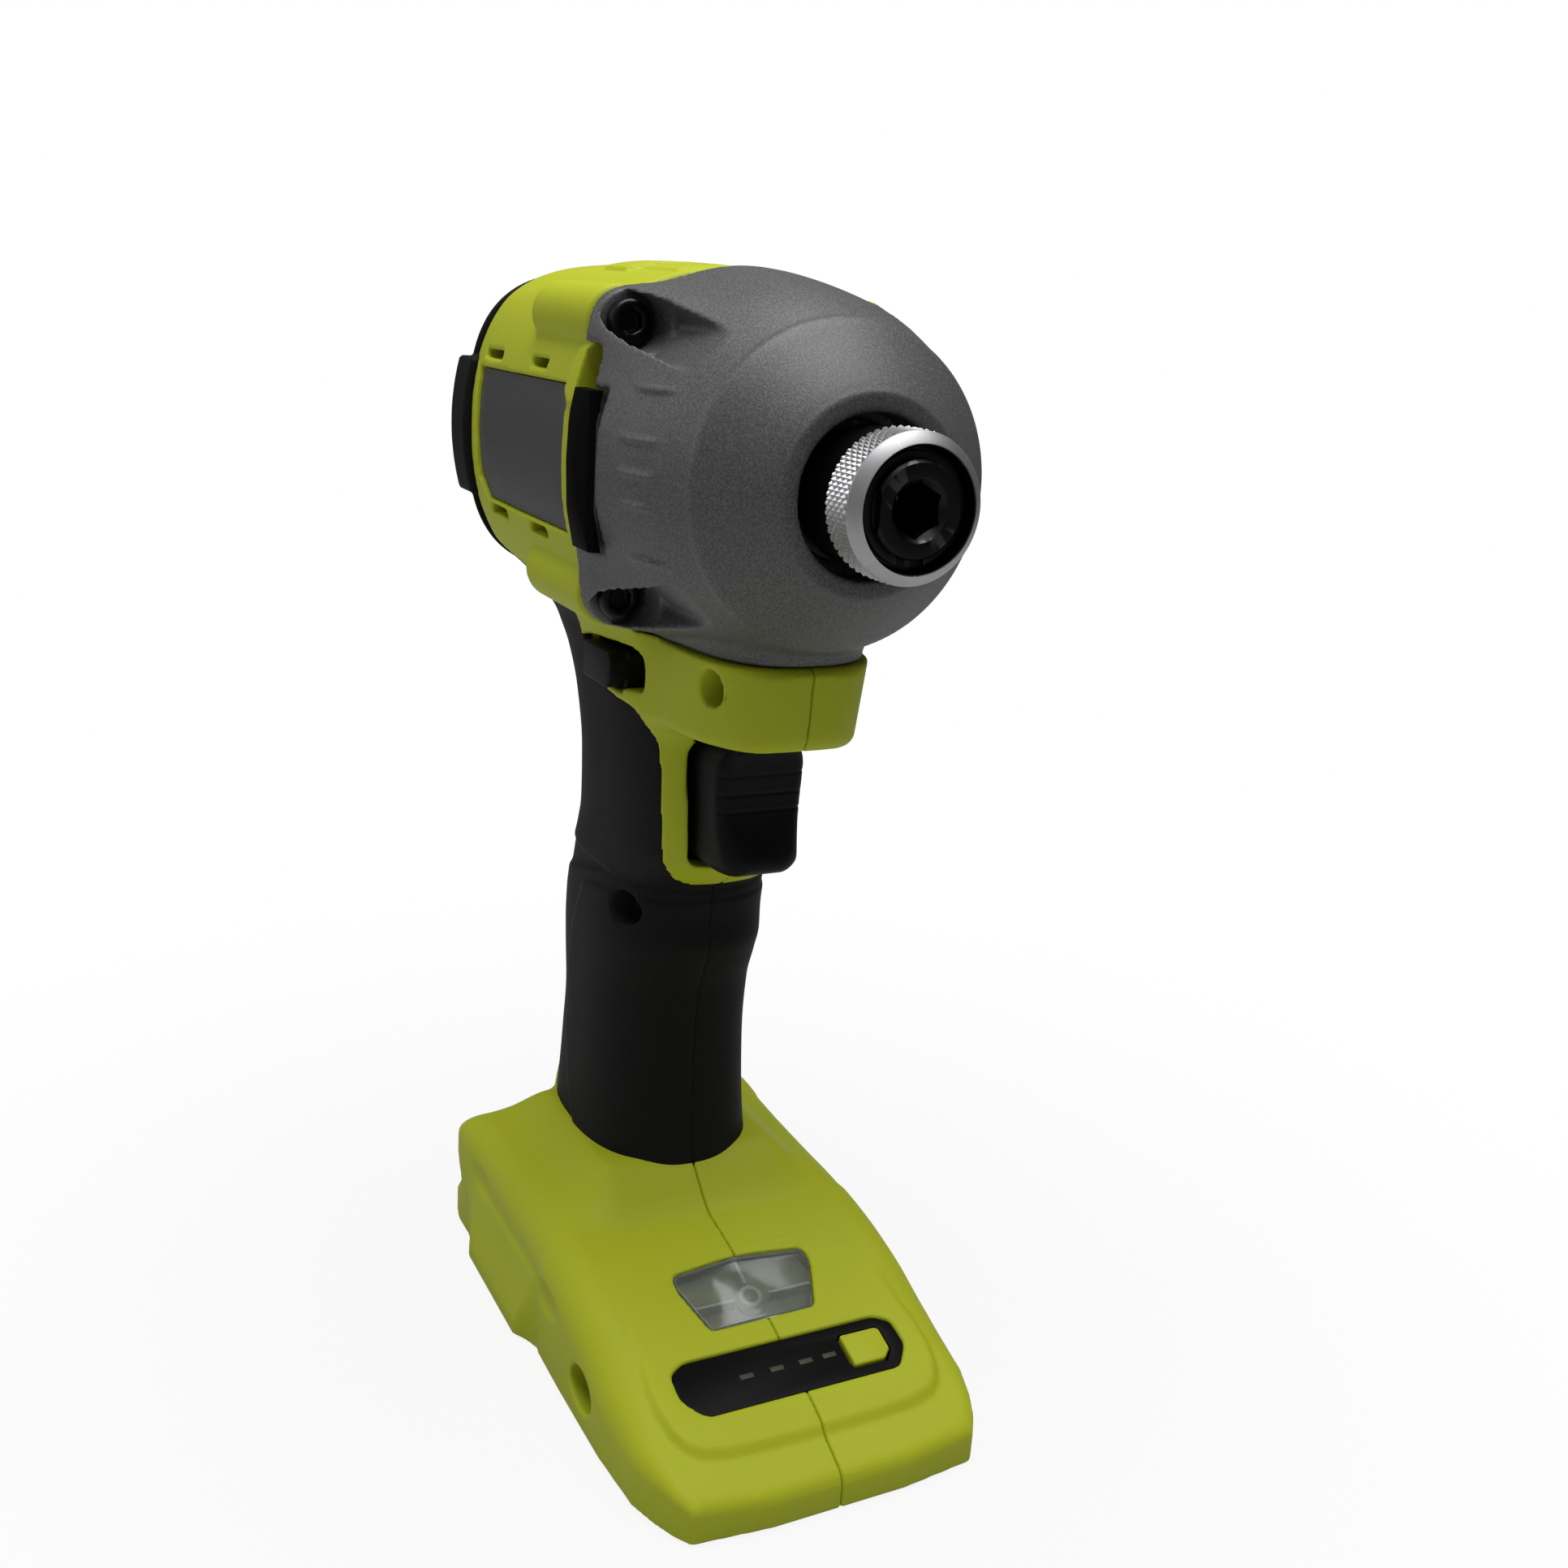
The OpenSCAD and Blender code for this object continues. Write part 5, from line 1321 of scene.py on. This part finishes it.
@dataclass
class HammerCase:
    """Grey cast nose with ears, ribs and the skirt over the guard."""

    forms: BodyForms
    bench: Bench
    step: float
    most_faces: int = 180000
    nose_rows: Rows = (
        (-23.0, 21.8), (-20.9, 22.6), (-20.4, 22.55), (-19.7, 22.1), (-17.8, 20.3), (-14.6, 17.0),
        (-12.6, 14.7), (-11.9, 13.8), (-10.5, 13.7),
    )
    barrel_r: float = 24.3
    ear: tuple[float, float] = (20.3, 19.7)
    ear_well_r: float = 4.0
    ear_hole_r: float = 2.1
    rib_places: tuple[float, ...] = (11.6, 4.9, 0.4, -3.9, -11.5)
    rib_mid_u: float = -31.2
    rib_half_len: float = 4.6
    rib_half_w: float = 0.42
    boss_r: float = 11.0
    bush_r: float = 9.62
    screw_step: float = 0.3
    screw_faces: int = 40000
    screw_head_r: float = 3.1
    screw_shank_r: float = 1.95
    screw_socket: float = 1.5

    def body(self, g: Grid) -> Array:
        """Field of cone, dome, barrel and skirt."""
        f, r = self.forms, g.radius()
        cone = meet((r - g.along_u(self.nose_rows)) * np.float32(0.75), g.slab("u", -23.0, -11.7), 0.2)
        solid = join(f.dome(g, 0.0), cone, 0.25)
        solid = np.minimum(solid, common(r - self.barrel_r, g.slab("u", -79.0, -48.0)))
        skirt = meet(common(f.guard_plan(g, 0.9), -50.0 - g.u), g.slab("z", 121.7, 136.0), 0.5)
        return join(solid, skirt, 1.6)

    def ribs(self, g: Grid, solid: Array) -> Array:
        """Add the low cast ribs on both sides."""
        rise = 0.5 * (1 - ((g.u - self.rib_mid_u) / self.rib_half_len) ** 2) - 0.02
        skin = self.forms.dome(g, 0.0) - rise
        for w in self.rib_places:
            rib = common(skin, np.abs(g.w - w) - self.rib_half_w, 12.0 - np.abs(g.y))
            solid = join(solid, rib, 0.2)
        return solid

    def openings(self, g: Grid, solid: Array) -> Array:
        """Cut the ears' notches and wells, the seats of tongues and tabs, and the bore."""
        y, high = np.abs(g.y), np.abs(g.w)
        out, across = (y + high) * np.float32(0.7071), (high - y) * np.float32(0.7071)
        notch = meet(24.5 - out, np.abs(across + 0.55) - 3.95, 0.9)
        solid = carve(solid, meet(notch, -42.0 - g.u, 0.8), 0.25)
        hole = np.sqrt((y - self.ear[0]) ** 2 + (high - self.ear[1]) ** 2)
        solid = cut(solid, 0.4, hole - self.ear_well_r, g.slab("u", -50.0, -40.6))
        solid = cut(solid, 0.0, hole - self.ear_hole_r, g.u + 40.0)
        solid = cut(solid, 0.2, 25.0 - y, g.slab("u", -60.0, -42.0), g.slab("z", 135.0, 157.8))
        tab = meet(g.slab("u", -60.0, -46.5), g.slab("z", 153.7, 163.7), 1.6)
        solid = cut(solid, 0.2, tab, 22.4 - y)
        inside = np.clip(18.5 - (g.u + 30.2) * 1.075, 18.5, 22.8)
        bore = np.where(g.u > -17.5, self.boss_r, np.where(g.u > -30.2, self.bush_r, inside))
        return carve(solid, g.radius() - bore.astype(np.float32), 0.35)

    def build(self) -> bpy.types.Object:
        """Mesh the case and dress it."""
        g = Grid((-80.0, -29.5, 117.5), (-10.5, 29.5, 177.5), self.step)
        solid = self.openings(g, self.ribs(g, self.body(g)))
        piece = self.bench.from_field("cast_hammer_case", g, solid, self.most_faces)
        return self.bench.dress(piece, CASE_GREY, Body.CASE, "case_grey", ["hammer_case"])

    def build_screws(self) -> bpy.types.Object:
        """Mesh the four socket screws deep in the ears and dress them."""
        g = Grid((-66.0, -25.0, 122.0), (-46.5, 25.0, 172.5), self.screw_step)
        y, z = np.abs(g.y) - self.ear[0], np.abs(g.w) - self.ear[1]
        ring = np.sqrt(y * y + z * z)
        head = meet(ring - self.screw_head_r, g.slab("u", -49.9, -47.4), 0.4)
        flats = [np.abs(y * math.cos(a) + z * math.sin(a)) for a in (0.0, math.pi / 3, 2 * math.pi / 3)]
        shank = common(ring - self.screw_shank_r, g.slab("u", -64.0, -48.5))
        solid = cut(np.minimum(head, shank), 0.15, common(*flats) - self.screw_socket, -48.9 - g.u)
        piece = self.bench.from_field("ear_screws", g, solid, self.screw_faces)
        return self.bench.dress(piece, BLACK_STEEL, Body.CASE, SLOT_OF["case_screws"], ["case_screws"])


@dataclass
class BitChuck:
    """Knurled sleeve around the anvil."""

    bench: Bench
    sleeve_r: float = 10.0
    knurl_from: float = -1.56
    knurl_to: float = -7.0
    knurl_rows: float = 8.0
    knurl_rings: int = 58
    teeth: int = 50
    sides_per_tooth: int = 14
    knurl_depth: float = 0.6
    front_edge_r: float = 9.55
    back_edge_r: float = 9.45
    dark_rings: int = 3
    # Place along u and radius of the plain rings before and behind the knurl.
    front_rings: Rows = (
        (-0.45, 8.1), (-0.2, 8.12), (0.0, 8.18), (0.12, 8.3), (0.06, 8.42), (-1.05, 9.64), (-1.2, 9.78),
        (-1.4, 9.84), (-1.5, 9.78),
    )
    back_rings: Rows = (
        (-7.12, 9.4), (-7.35, 9.3), (-14.6, 9.3), (-14.9, 9.0), (-14.9, 6.75), (-11.6, 6.7), (-11.5, 7.9),
        (-11.2, 8.1),
    )

    def knurl_ring(self, u: float, angle: Array) -> Array:
        """Radius of the knurl around the sleeve at one place along u."""
        p = angle * self.teeth / (2 * math.pi)
        q = (self.knurl_from - u) / (self.knurl_from - self.knurl_to) * self.knurl_rows
        rising = np.abs((p + q / 2) % 1.0 - 0.5) * 2
        falling = np.abs((p - q / 2) % 1.0 - 0.5) * 2
        radius = self.sleeve_r - self.knurl_depth * (1 - np.minimum(rising, falling))
        fade = min(1.0, (self.knurl_from - u) / 0.25, (u - self.knurl_to) / 0.3)
        edge = self.front_edge_r if u > -3 else self.back_edge_r
        return np.minimum(radius, edge + max(fade, 0.0))

    def build(self) -> bpy.types.Object:
        """Mesh the sleeve and dress it."""
        around = self.teeth * self.sides_per_tooth
        angle = np.arange(around) * 2 * math.pi / around
        knurl = np.linspace(self.knurl_from, self.knurl_to, self.knurl_rings)
        rings = [(u, np.full(around, r)) for u, r in self.front_rings]
        rings += [(u, self.knurl_ring(u, angle)) for u in knurl]
        rings += [(u, np.full(around, r)) for u, r in self.back_rings]
        verts = np.array([
            [u, r[i] * math.cos(a), AXIS_Z + r[i] * math.sin(a)]
            for u, r in rings for i, a in enumerate(angle)
        ])
        quads = tube_quads(len(rings), around, True)
        piece = self.bench.mesh("knurled_bit_sleeve", verts, quads[:, ::-1])
        self.bench.settle(piece, 24.0)
        piece = self.bench.dress(piece, BRIGHT_STEEL, Body.SLEEVE, "bright_steel", ["bit_sleeve"])
        piece.data.materials.append(material_of(BLACK_STEEL))
        place = np.arange(len(rings))
        dark = (place < self.dark_rings) | (place >= len(self.front_rings) + self.knurl_rings)
        piece.data.polygons.foreach_set("material_index", np.repeat(dark.astype(np.int32), around))
        for node in ("anvil", "sleeve_washer", "sleeve_clip"):
            self.bench.keep(node, BLACK_STEEL, 0.12)
        self.bench.keep("bit_balls", BEARING_STEEL)
        return piece


@dataclass
class TriggerGroup:
    """Trigger with its finger lines, and the direction selector."""

    forms: BodyForms
    bench: Bench
    step: float
    half_w: float = 7.6
    back_u: float = -52.6
    mid_u: float = -43.0
    nose_len: float = 11.4
    nose_power: float = 2.4
    most_faces: int = 60000
    finger_lines: tuple[float, ...] = (102.0, 98.9, 96.2)
    side_outline: Rows = (
        (-31.6, 107.6), (-32.2, 106.8), (-36.4, 106.4), (-37.5, 104.6), (-38.0, 99.6), (-37.9, 95.6),
        (-36.5, 92.0), (-34.8, 89.3), (-35.0, 87.1), (-38.4, 85.5), (-52.6, 85.5), (-52.6, 107.6),
    )

    def build(self) -> bpy.types.Object:
        """Mesh the trigger and dress it."""
        g = Grid((-54.0, -9.0, 84.5), (-28.5, 9.0, 108.0), self.step)
        half = self.half_w - self.forms.trigger_waist(g, 0.05)
        ahead = np.maximum(g.u - self.mid_u, 0)
        nose = oval_field(ahead, g.y, np.float32(self.nose_len), half, np.float32(self.nose_power))
        plan = np.where(g.u > self.mid_u, nose, np.abs(g.y) - half)
        low = np.clip((96.0 - g.z) / 9.0, 0, 1)
        solid = meet(g.side_outline(self.side_outline, 2), plan, 1.4 + 1.4 * low)
        solid = np.maximum(solid, self.back_u - g.u)
        for z in self.finger_lines:
            solid = cut(solid, 0.0, np.abs(g.z - z) - 0.2, -(solid + 0.14), -39.0 - g.u)
        solid = cut(solid, 0.2, g.block((-60.0, -39.5), (-6.0, 6.0), (87.5, 105.6), 0.5))
        piece = self.bench.from_field("ribbed_trigger", g, solid, self.most_faces)
        self.bench.dress(piece, HARD_BLACK, Body.TRIGGER, "hard_black", ["trigger"])
        self.bench.keep("trigger_plunger", HARD_BLACK, 0.2)
        self.bench.keep("direction_selector", HARD_BLACK, 0.5)
        return piece


@dataclass
class FootFittings:
    """Lamp lens, lamp, panel windows and push button on the foot."""

    forms: BodyForms
    bench: Bench
    lens_plan: Rows = (
        (-7.4, 0), (-6, 11.4), (-3.4, 11.8), (5.6, 8.3), (5.8, -9.8), (-3.4, -12.2), (-6, -11.6),
    )
    # Each rib is its range along the slope and its range across the tool.
    rib_ranges: Rows = ((-7.6, -2.6, -0.35, 0.35), (-0.2, 0.3, -10.6, -3.0), (-0.2, 0.3, 3.0, 10.4))
    dash_places: tuple[float, ...] = (-7.8, -2.6, 2.4, 6.6)
    dash_half_w: float = 1.15
    button_plan: Rows = ((-3, 9.6), (2.9, 9.6), (2.9, 15), (1.4, 16.6), (-2.4, 16.6), (-3, 16))

    def on_slope(self, u0: float, points: Sequence[tuple[float, float, float]]) -> Array:
        """Places given on the sloping foot top, as u, y and z."""
        slope = math.radians(self.forms.foot_slope)
        along, y, above = np.array(points, float).T
        u = u0 + along * math.cos(slope) + above * math.sin(slope)
        z = self.forms.foot_top(u0) - along * math.sin(slope) + above * math.cos(slope)
        return np.stack([u, y, z], 1)

    def tile(
        self,
        name: str,
        plan: Points,
        u0: float,
        low: float,
        high: float,
        edge: float,
        finish: Finish,
        slot: str,
        body: Body = Body.CASE,
        stands_for: Sequence[str] = (),
    ) -> bpy.types.Object:
        """Flat piece with rounded edges on the slope.

        Args:
            name: name of the piece.
            plan: its outline.
            u0: place of its middle along u.
            low: lower face above the slope, negative when it lies below.
            high: upper face, measured the same way.
            edge: width of its rounded edges.
            finish: its finish.
            slot: material slot of the record.
            body: the body it rides on.
            stands_for: CAD nodes it is shown in place of.

        Returns:
            The piece.
        """
        n = len(plan)
        points = [(x, y, low) for x, y in plan] + [(x, y, high) for x, y in plan]
        data = bpy.data.meshes.new(name)
        verts = (self.on_slope(u0, points) + (U_TO_X, 0, 0)) * MM
        faces = [list(range(n))[::-1], [n + i for i in range(n)]]
        faces += [[i, (i + 1) % n, n + (i + 1) % n, n + i] for i in range(n)]
        data.from_pydata(verts.tolist(), [], faces)
        data.update()
        piece = bpy.data.objects.new(name, data)
        bpy.context.scene.collection.objects.link(piece)
        bevel = piece.modifiers.new("edge", "BEVEL")
        bevel.width = edge * MM
        bevel.segments = 4
        bevel.limit_method = "ANGLE"
        bevel.angle_limit = math.radians(25)
        self.bench.settle(piece, 35.0)
        return self.bench.dress(piece, finish, body, slot, stands_for)

    def build_lens(self) -> None:
        """Make the lens with the tray, ribs and eye that show through it, and dress the lamp."""
        u, clear = self.forms.lens_u, "lens_clear"
        lens = self.lens_plan[::-1]
        self.tile("lens_window", lens, u, -2.4, -0.25, 0.35, LENS_CLEAR, clear, stands_for=["lamp_lens"])
        tray = [(x * 0.99, y * 0.985) for x, y in lens]
        self.tile("lens_tray", tray, u, -4.6, -4.0, 0.2, TRAY_GREY, clear)
        for i, (x0, x1, y0, y1) in enumerate(self.rib_ranges):
            plan = [(x1, y0), (x1, y1), (x0, y1), (x0, y0)]
            self.tile(f"lens_rib_{i + 1}", plan, u, -4.1, -2.55, 0.12, TRAY_LINE, clear)
        turn = [i * math.pi / 12 for i in range(24)]
        discs = (("lens_ring", 2.0, -2.9, TRAY_LINE), ("lens_eye", 1.2, -2.7, TRAY_GREY))
        for name, r, high, finish in discs:
            disc = [(r * math.cos(a) - 0.4, r * math.sin(a)) for a in turn]
            self.tile(name, disc, u, -4.1, high, 0.15, finish, clear)
        self.bench.keep("lamp_led", LAMP_PALE, 0.1)

    def build_panel(self) -> None:
        """Dress the panel and make its level dashes and its push button."""
        u = self.forms.panel_u
        self.bench.keep("mode_panel", PANEL_BLACK, 0.25)
        for i, y in enumerate(self.dash_places):
            y0, y1 = y - self.dash_half_w, y + self.dash_half_w
            plan = [(-0.75, y0), (0.15, y0), (0.15, y1), (-0.75, y1)]
            self.tile(f"panel_window_{i + 1}", plan, u, -0.9, -0.42, 0.08, WINDOW_GREY, "hard_black")
        self.tile(
            "push_button", self.button_plan, u, -3.7, 0.0, 0.5, SHELL_GREEN, "shell_green", Body.BUTTON,
            ["mode_button"],
        )

    def build(self) -> None:
        """Make and dress the fittings."""
        self.build_lens()
        self.build_panel()


@dataclass(frozen=True)
class Coil:
    """Sizes of a round wire spring and the joint that it sits on; the spring is wound at full length only.

    The joint's limit leaves the share keep of its length, and its end at anchor_u stays in place.
    """

    name: str
    node: str
    body: Body
    joint: str
    low_u: float
    high_u: float
    coil_r: float
    wire_r: float
    keep: float
    anchor_u: float
    turns: int = 5
    steps: int = 40
    sides: int = 12


HAMMER_COIL = Coil(
    "hammer_coil", "hammer_spring", Body.CAM, "hammer_retract", -63.1, -46.2, 12.3, 1.1, 1 - 6.5 / 16.9, -63.1
)
SLEEVE_COIL = Coil(
    "sleeve_coil", "sleeve_spring", Body.ANVIL, "sleeve_slide", -11.3, -3.1, 7.35, 0.4, 1 - 4.0 / 8.2, -3.1
)
# Finish and width of the softened edges of each CAD node that keeps its own shape.
KEPT_NODES: dict[str, tuple[Finish, float]] = {
    "side_bumper_right": (BAR_BLACK, 0.5), "side_bumper_left": (BAR_BLACK, 0.5),
    "spec_plate": (PLATE_GREY, 0.15), "anvil_bush": (BUSH_BRONZE_WITH_PAINTED_SHADE, 0.2), "housing_screws": (BLACK_STEEL, 0.2),
    "ring_gear": (GEAR_STEEL, 0.0), "gearbox_plate": (GEAR_STEEL, 0.2),
    "spindle_bearing": (BEARING_STEEL, 0.1), "motor_bearing_front": (BEARING_STEEL, 0.1),
    "motor_bearing_rear": (BEARING_STEEL, 0.1), "stator_core": (CORE_STEEL, 0.0),
    "stator_coils": (COIL_COPPER, 0.4), "sensor_board": (BOARD_GREEN, 0.0), "switch_body": (HARD_BLACK, 0.4),
    "control_board": (BOARD_GREEN, 0.1), "terminal_block": (HARD_BLACK, 0.3),
    "terminal_blades": (BLADE_BRASS, 0.15), "motor_shaft": (GEAR_STEEL, 0.0), "rotor_core": (CORE_STEEL, 0.1),
    "cooling_fan": (HARD_BLACK, 0.1), "cam_spindle": (GEAR_STEEL, 0.0), "planet_pins": (GEAR_STEEL, 0.15),
    "cam_balls": (BEARING_STEEL, 0.0), "thrust_washer": (GEAR_STEEL, 0.1), "planet_gear_1": (GEAR_STEEL, 0.0),
    "planet_gear_2": (GEAR_STEEL, 0.0), "planet_gear_3": (GEAR_STEEL, 0.0), "hammer": (GEAR_STEEL, 0.2),
}


@dataclass
class InnerWorks:
    """CAD nodes that keep their own shape, and the two springs."""

    bench: Bench

    def spring(self, coil: Coil) -> bpy.types.Object:
        """Wind a spring and dress it, hung on its body.

        Args:
            coil: its sizes, its body and its joint.

        Returns:
            The piece.
        """
        wire, sides = coil.wire_r, coil.sides
        pitch = (coil.high_u - coil.low_u - 2 * wire) / coil.turns
        count = coil.turns * coil.steps + 1
        rows = []
        for i in range(count):
            a = i * 2 * math.pi / coil.steps
            u = coil.low_u + wire + pitch * i / coil.steps
            for j in range(sides):
                b = j * 2 * math.pi / sides
                r = coil.coil_r + wire * math.cos(b)
                rows.append((u - wire * math.sin(b), r * math.sin(a), AXIS_Z - r * math.cos(a)))
        caps = [
            [base + k, base + k + 1, base + sides - 2 - k, base + sides - 1 - k]
            for base in (0, (count - 1) * sides)
            for k in range(sides // 2 - 1)
        ]
        quads = np.concatenate([tube_quads(count, sides, False), np.array(caps)])
        piece = self.bench.mesh(coil.name, np.array(rows), quads)
        self.bench.settle(piece, 50.0)
        self.bench.dress(piece, SPRING_STEEL, coil.body, "spring_steel", [coil.node])
        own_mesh(piece)
        return piece

    def build(self) -> None:
        """Dress the nodes and make the springs."""
        for node, (finish, bevel) in KEPT_NODES.items():
            self.bench.keep(node, finish, bevel)
        self.spring(HAMMER_COIL)
        self.spring(SLEEVE_COIL)


# Studio


@dataclass
class Studio:
    """Floor, soft lights and the camera at the photograph's angle."""

    eye: Place = (0.23445, -0.11152, 0.17199)
    forward: Place = (-0.8461, 0.4524, -0.2818)
    up: Place = (-0.2806, 0.0714, 0.9572)
    lens_mm: float = 38.21
    sensor_mm: float = 36.0
    middle: Place = (0.0, 0.0, 0.11)
    floor_half: float = 3.0
    floor_drop: float = 0.0002
    room_light: float = 0.1

    def camera(self) -> None:
        """Put the camera in place."""
        data = bpy.data.cameras.new("camera")
        data.sensor_width = self.sensor_mm
        data.sensor_fit = "HORIZONTAL"
        data.lens = self.lens_mm
        data.clip_start = 0.01
        eye = bpy.data.objects.new("camera", data)
        back = -Vector(self.forward).normalized()
        right = Vector(self.up).cross(back).normalized()
        up = back.cross(right)
        turn = Matrix((right, up, back)).transposed().to_4x4()
        eye.matrix_world = Matrix.Translation(self.eye) @ turn
        bpy.context.scene.collection.objects.link(eye)
        bpy.context.scene.camera = eye

    def lamp(self, name: str, place: Place, size: float, power: float) -> None:
        """Square soft lamp that points at the middle of the tool.

        Args:
            name: its name.
            place: where it hangs.
            size: side of the square.
            power: watts.
        """
        data = bpy.data.lights.new(name, "AREA")
        data.size = size
        data.energy = power
        made = bpy.data.objects.new(name, data)
        turn = (Vector(self.middle) - Vector(place)).to_track_quat("-Z", "Y")
        made.matrix_world = Matrix.Translation(place) @ turn.to_matrix().to_4x4()
        bpy.context.scene.collection.objects.link(made)

    def floor(self) -> None:
        """Lay a pale floor that reads white to the camera and keeps the shadow."""
        data = bpy.data.meshes.new("floor")
        s = self.floor_half
        data.from_pydata([(-s, -s, 0), (s, -s, 0), (s, s, 0), (-s, s, 0)], [], [(0, 1, 2, 3)])
        ground = bpy.data.objects.new("floor", data)
        ground.location.z = -self.floor_drop
        bpy.context.scene.collection.objects.link(ground)
        tree = Tree("floor_white")
        seen = tree.node("ShaderNodeLightPath", output="Is Camera Ray")
        tone = tree.mix(tree.noise(60.0), (0.59, 0.59, 0.59, 1), (0.61, 0.61, 0.61, 1))
        away = tree.node("ShaderNodeVectorMath", {"operation": "LENGTH"}, {0: tree.place()}, "Value")
        matte = tree.node("ShaderNodeBsdfDiffuse", None, {"Color": tone})
        white = tree.node("ShaderNodeEmission", None, {"Color": (1, 1, 1, 1), "Strength": 1.0})
        share = seen * away.step(0.05, 0.22, 0.89, 1.0)
        both = tree.node("ShaderNodeMixShader", None, {0: share, 1: matte, 2: white})
        tree.node("ShaderNodeOutputMaterial", None, {"Surface": both})
        data.materials.append(tree.material)

    def world(self) -> None:
        """Soft grey room that reads white to the camera."""
        world = bpy.data.worlds.new("room")
        bpy.context.scene.world = world
        world.use_nodes = True
        nodes, links = world.node_tree.nodes, world.node_tree.links
        nodes.clear()
        path = nodes.new("ShaderNodeLightPath")
        mix, out = nodes.new("ShaderNodeMixShader"), nodes.new("ShaderNodeOutputWorld")
        links.new(path.outputs["Is Camera Ray"], mix.inputs[0])
        for place, strength in ((1, self.room_light), (2, 1.0)):
            light = nodes.new("ShaderNodeBackground")
            light.inputs["Color"].default_value = (1, 1, 1, 1)
            light.inputs["Strength"].default_value = strength
            links.new(light.outputs[0], mix.inputs[place])
        links.new(mix.outputs[0], out.inputs["Surface"])

    def build(self) -> None:
        """Set up the whole studio."""
        self.camera()
        self.floor()
        self.world()
        self.lamp("key", (0.05, 0.02, 0.8), 0.65, 6.9)
        self.lamp("fill", (0.6, -0.5, 0.5), 0.6, 0.35)
        self.lamp("rim", (-0.45, -0.6, 0.45), 0.5, 1.0)
        bpy.context.scene.view_settings.view_transform = "Standard"


def main() -> None:
    """Build every piece in order."""
    logging.basicConfig(level=logging.INFO, format="%(message)s")
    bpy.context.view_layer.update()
    step = 0.42
    trigger_step = 0.25
    bench = Bench()
    forms = BodyForms()
    Studio().build()
    for side in Side:
        HousingShell(forms, bench, step).build(side)
        SoftGrip(forms, bench, step).build(side)
        RearBumper(forms, bench, step).build(side)
    nose = HammerCase(forms, bench, step)
    nose.build()
    nose.build_screws()
    BitChuck(bench).build()
    TriggerGroup(forms, bench, trigger_step).build()
    FootFittings(forms, bench).build()
    InnerWorks(bench).build()
    LOG.info("%d new pieces", len(bench.pieces))


if __name__ == "__main__":
    main()
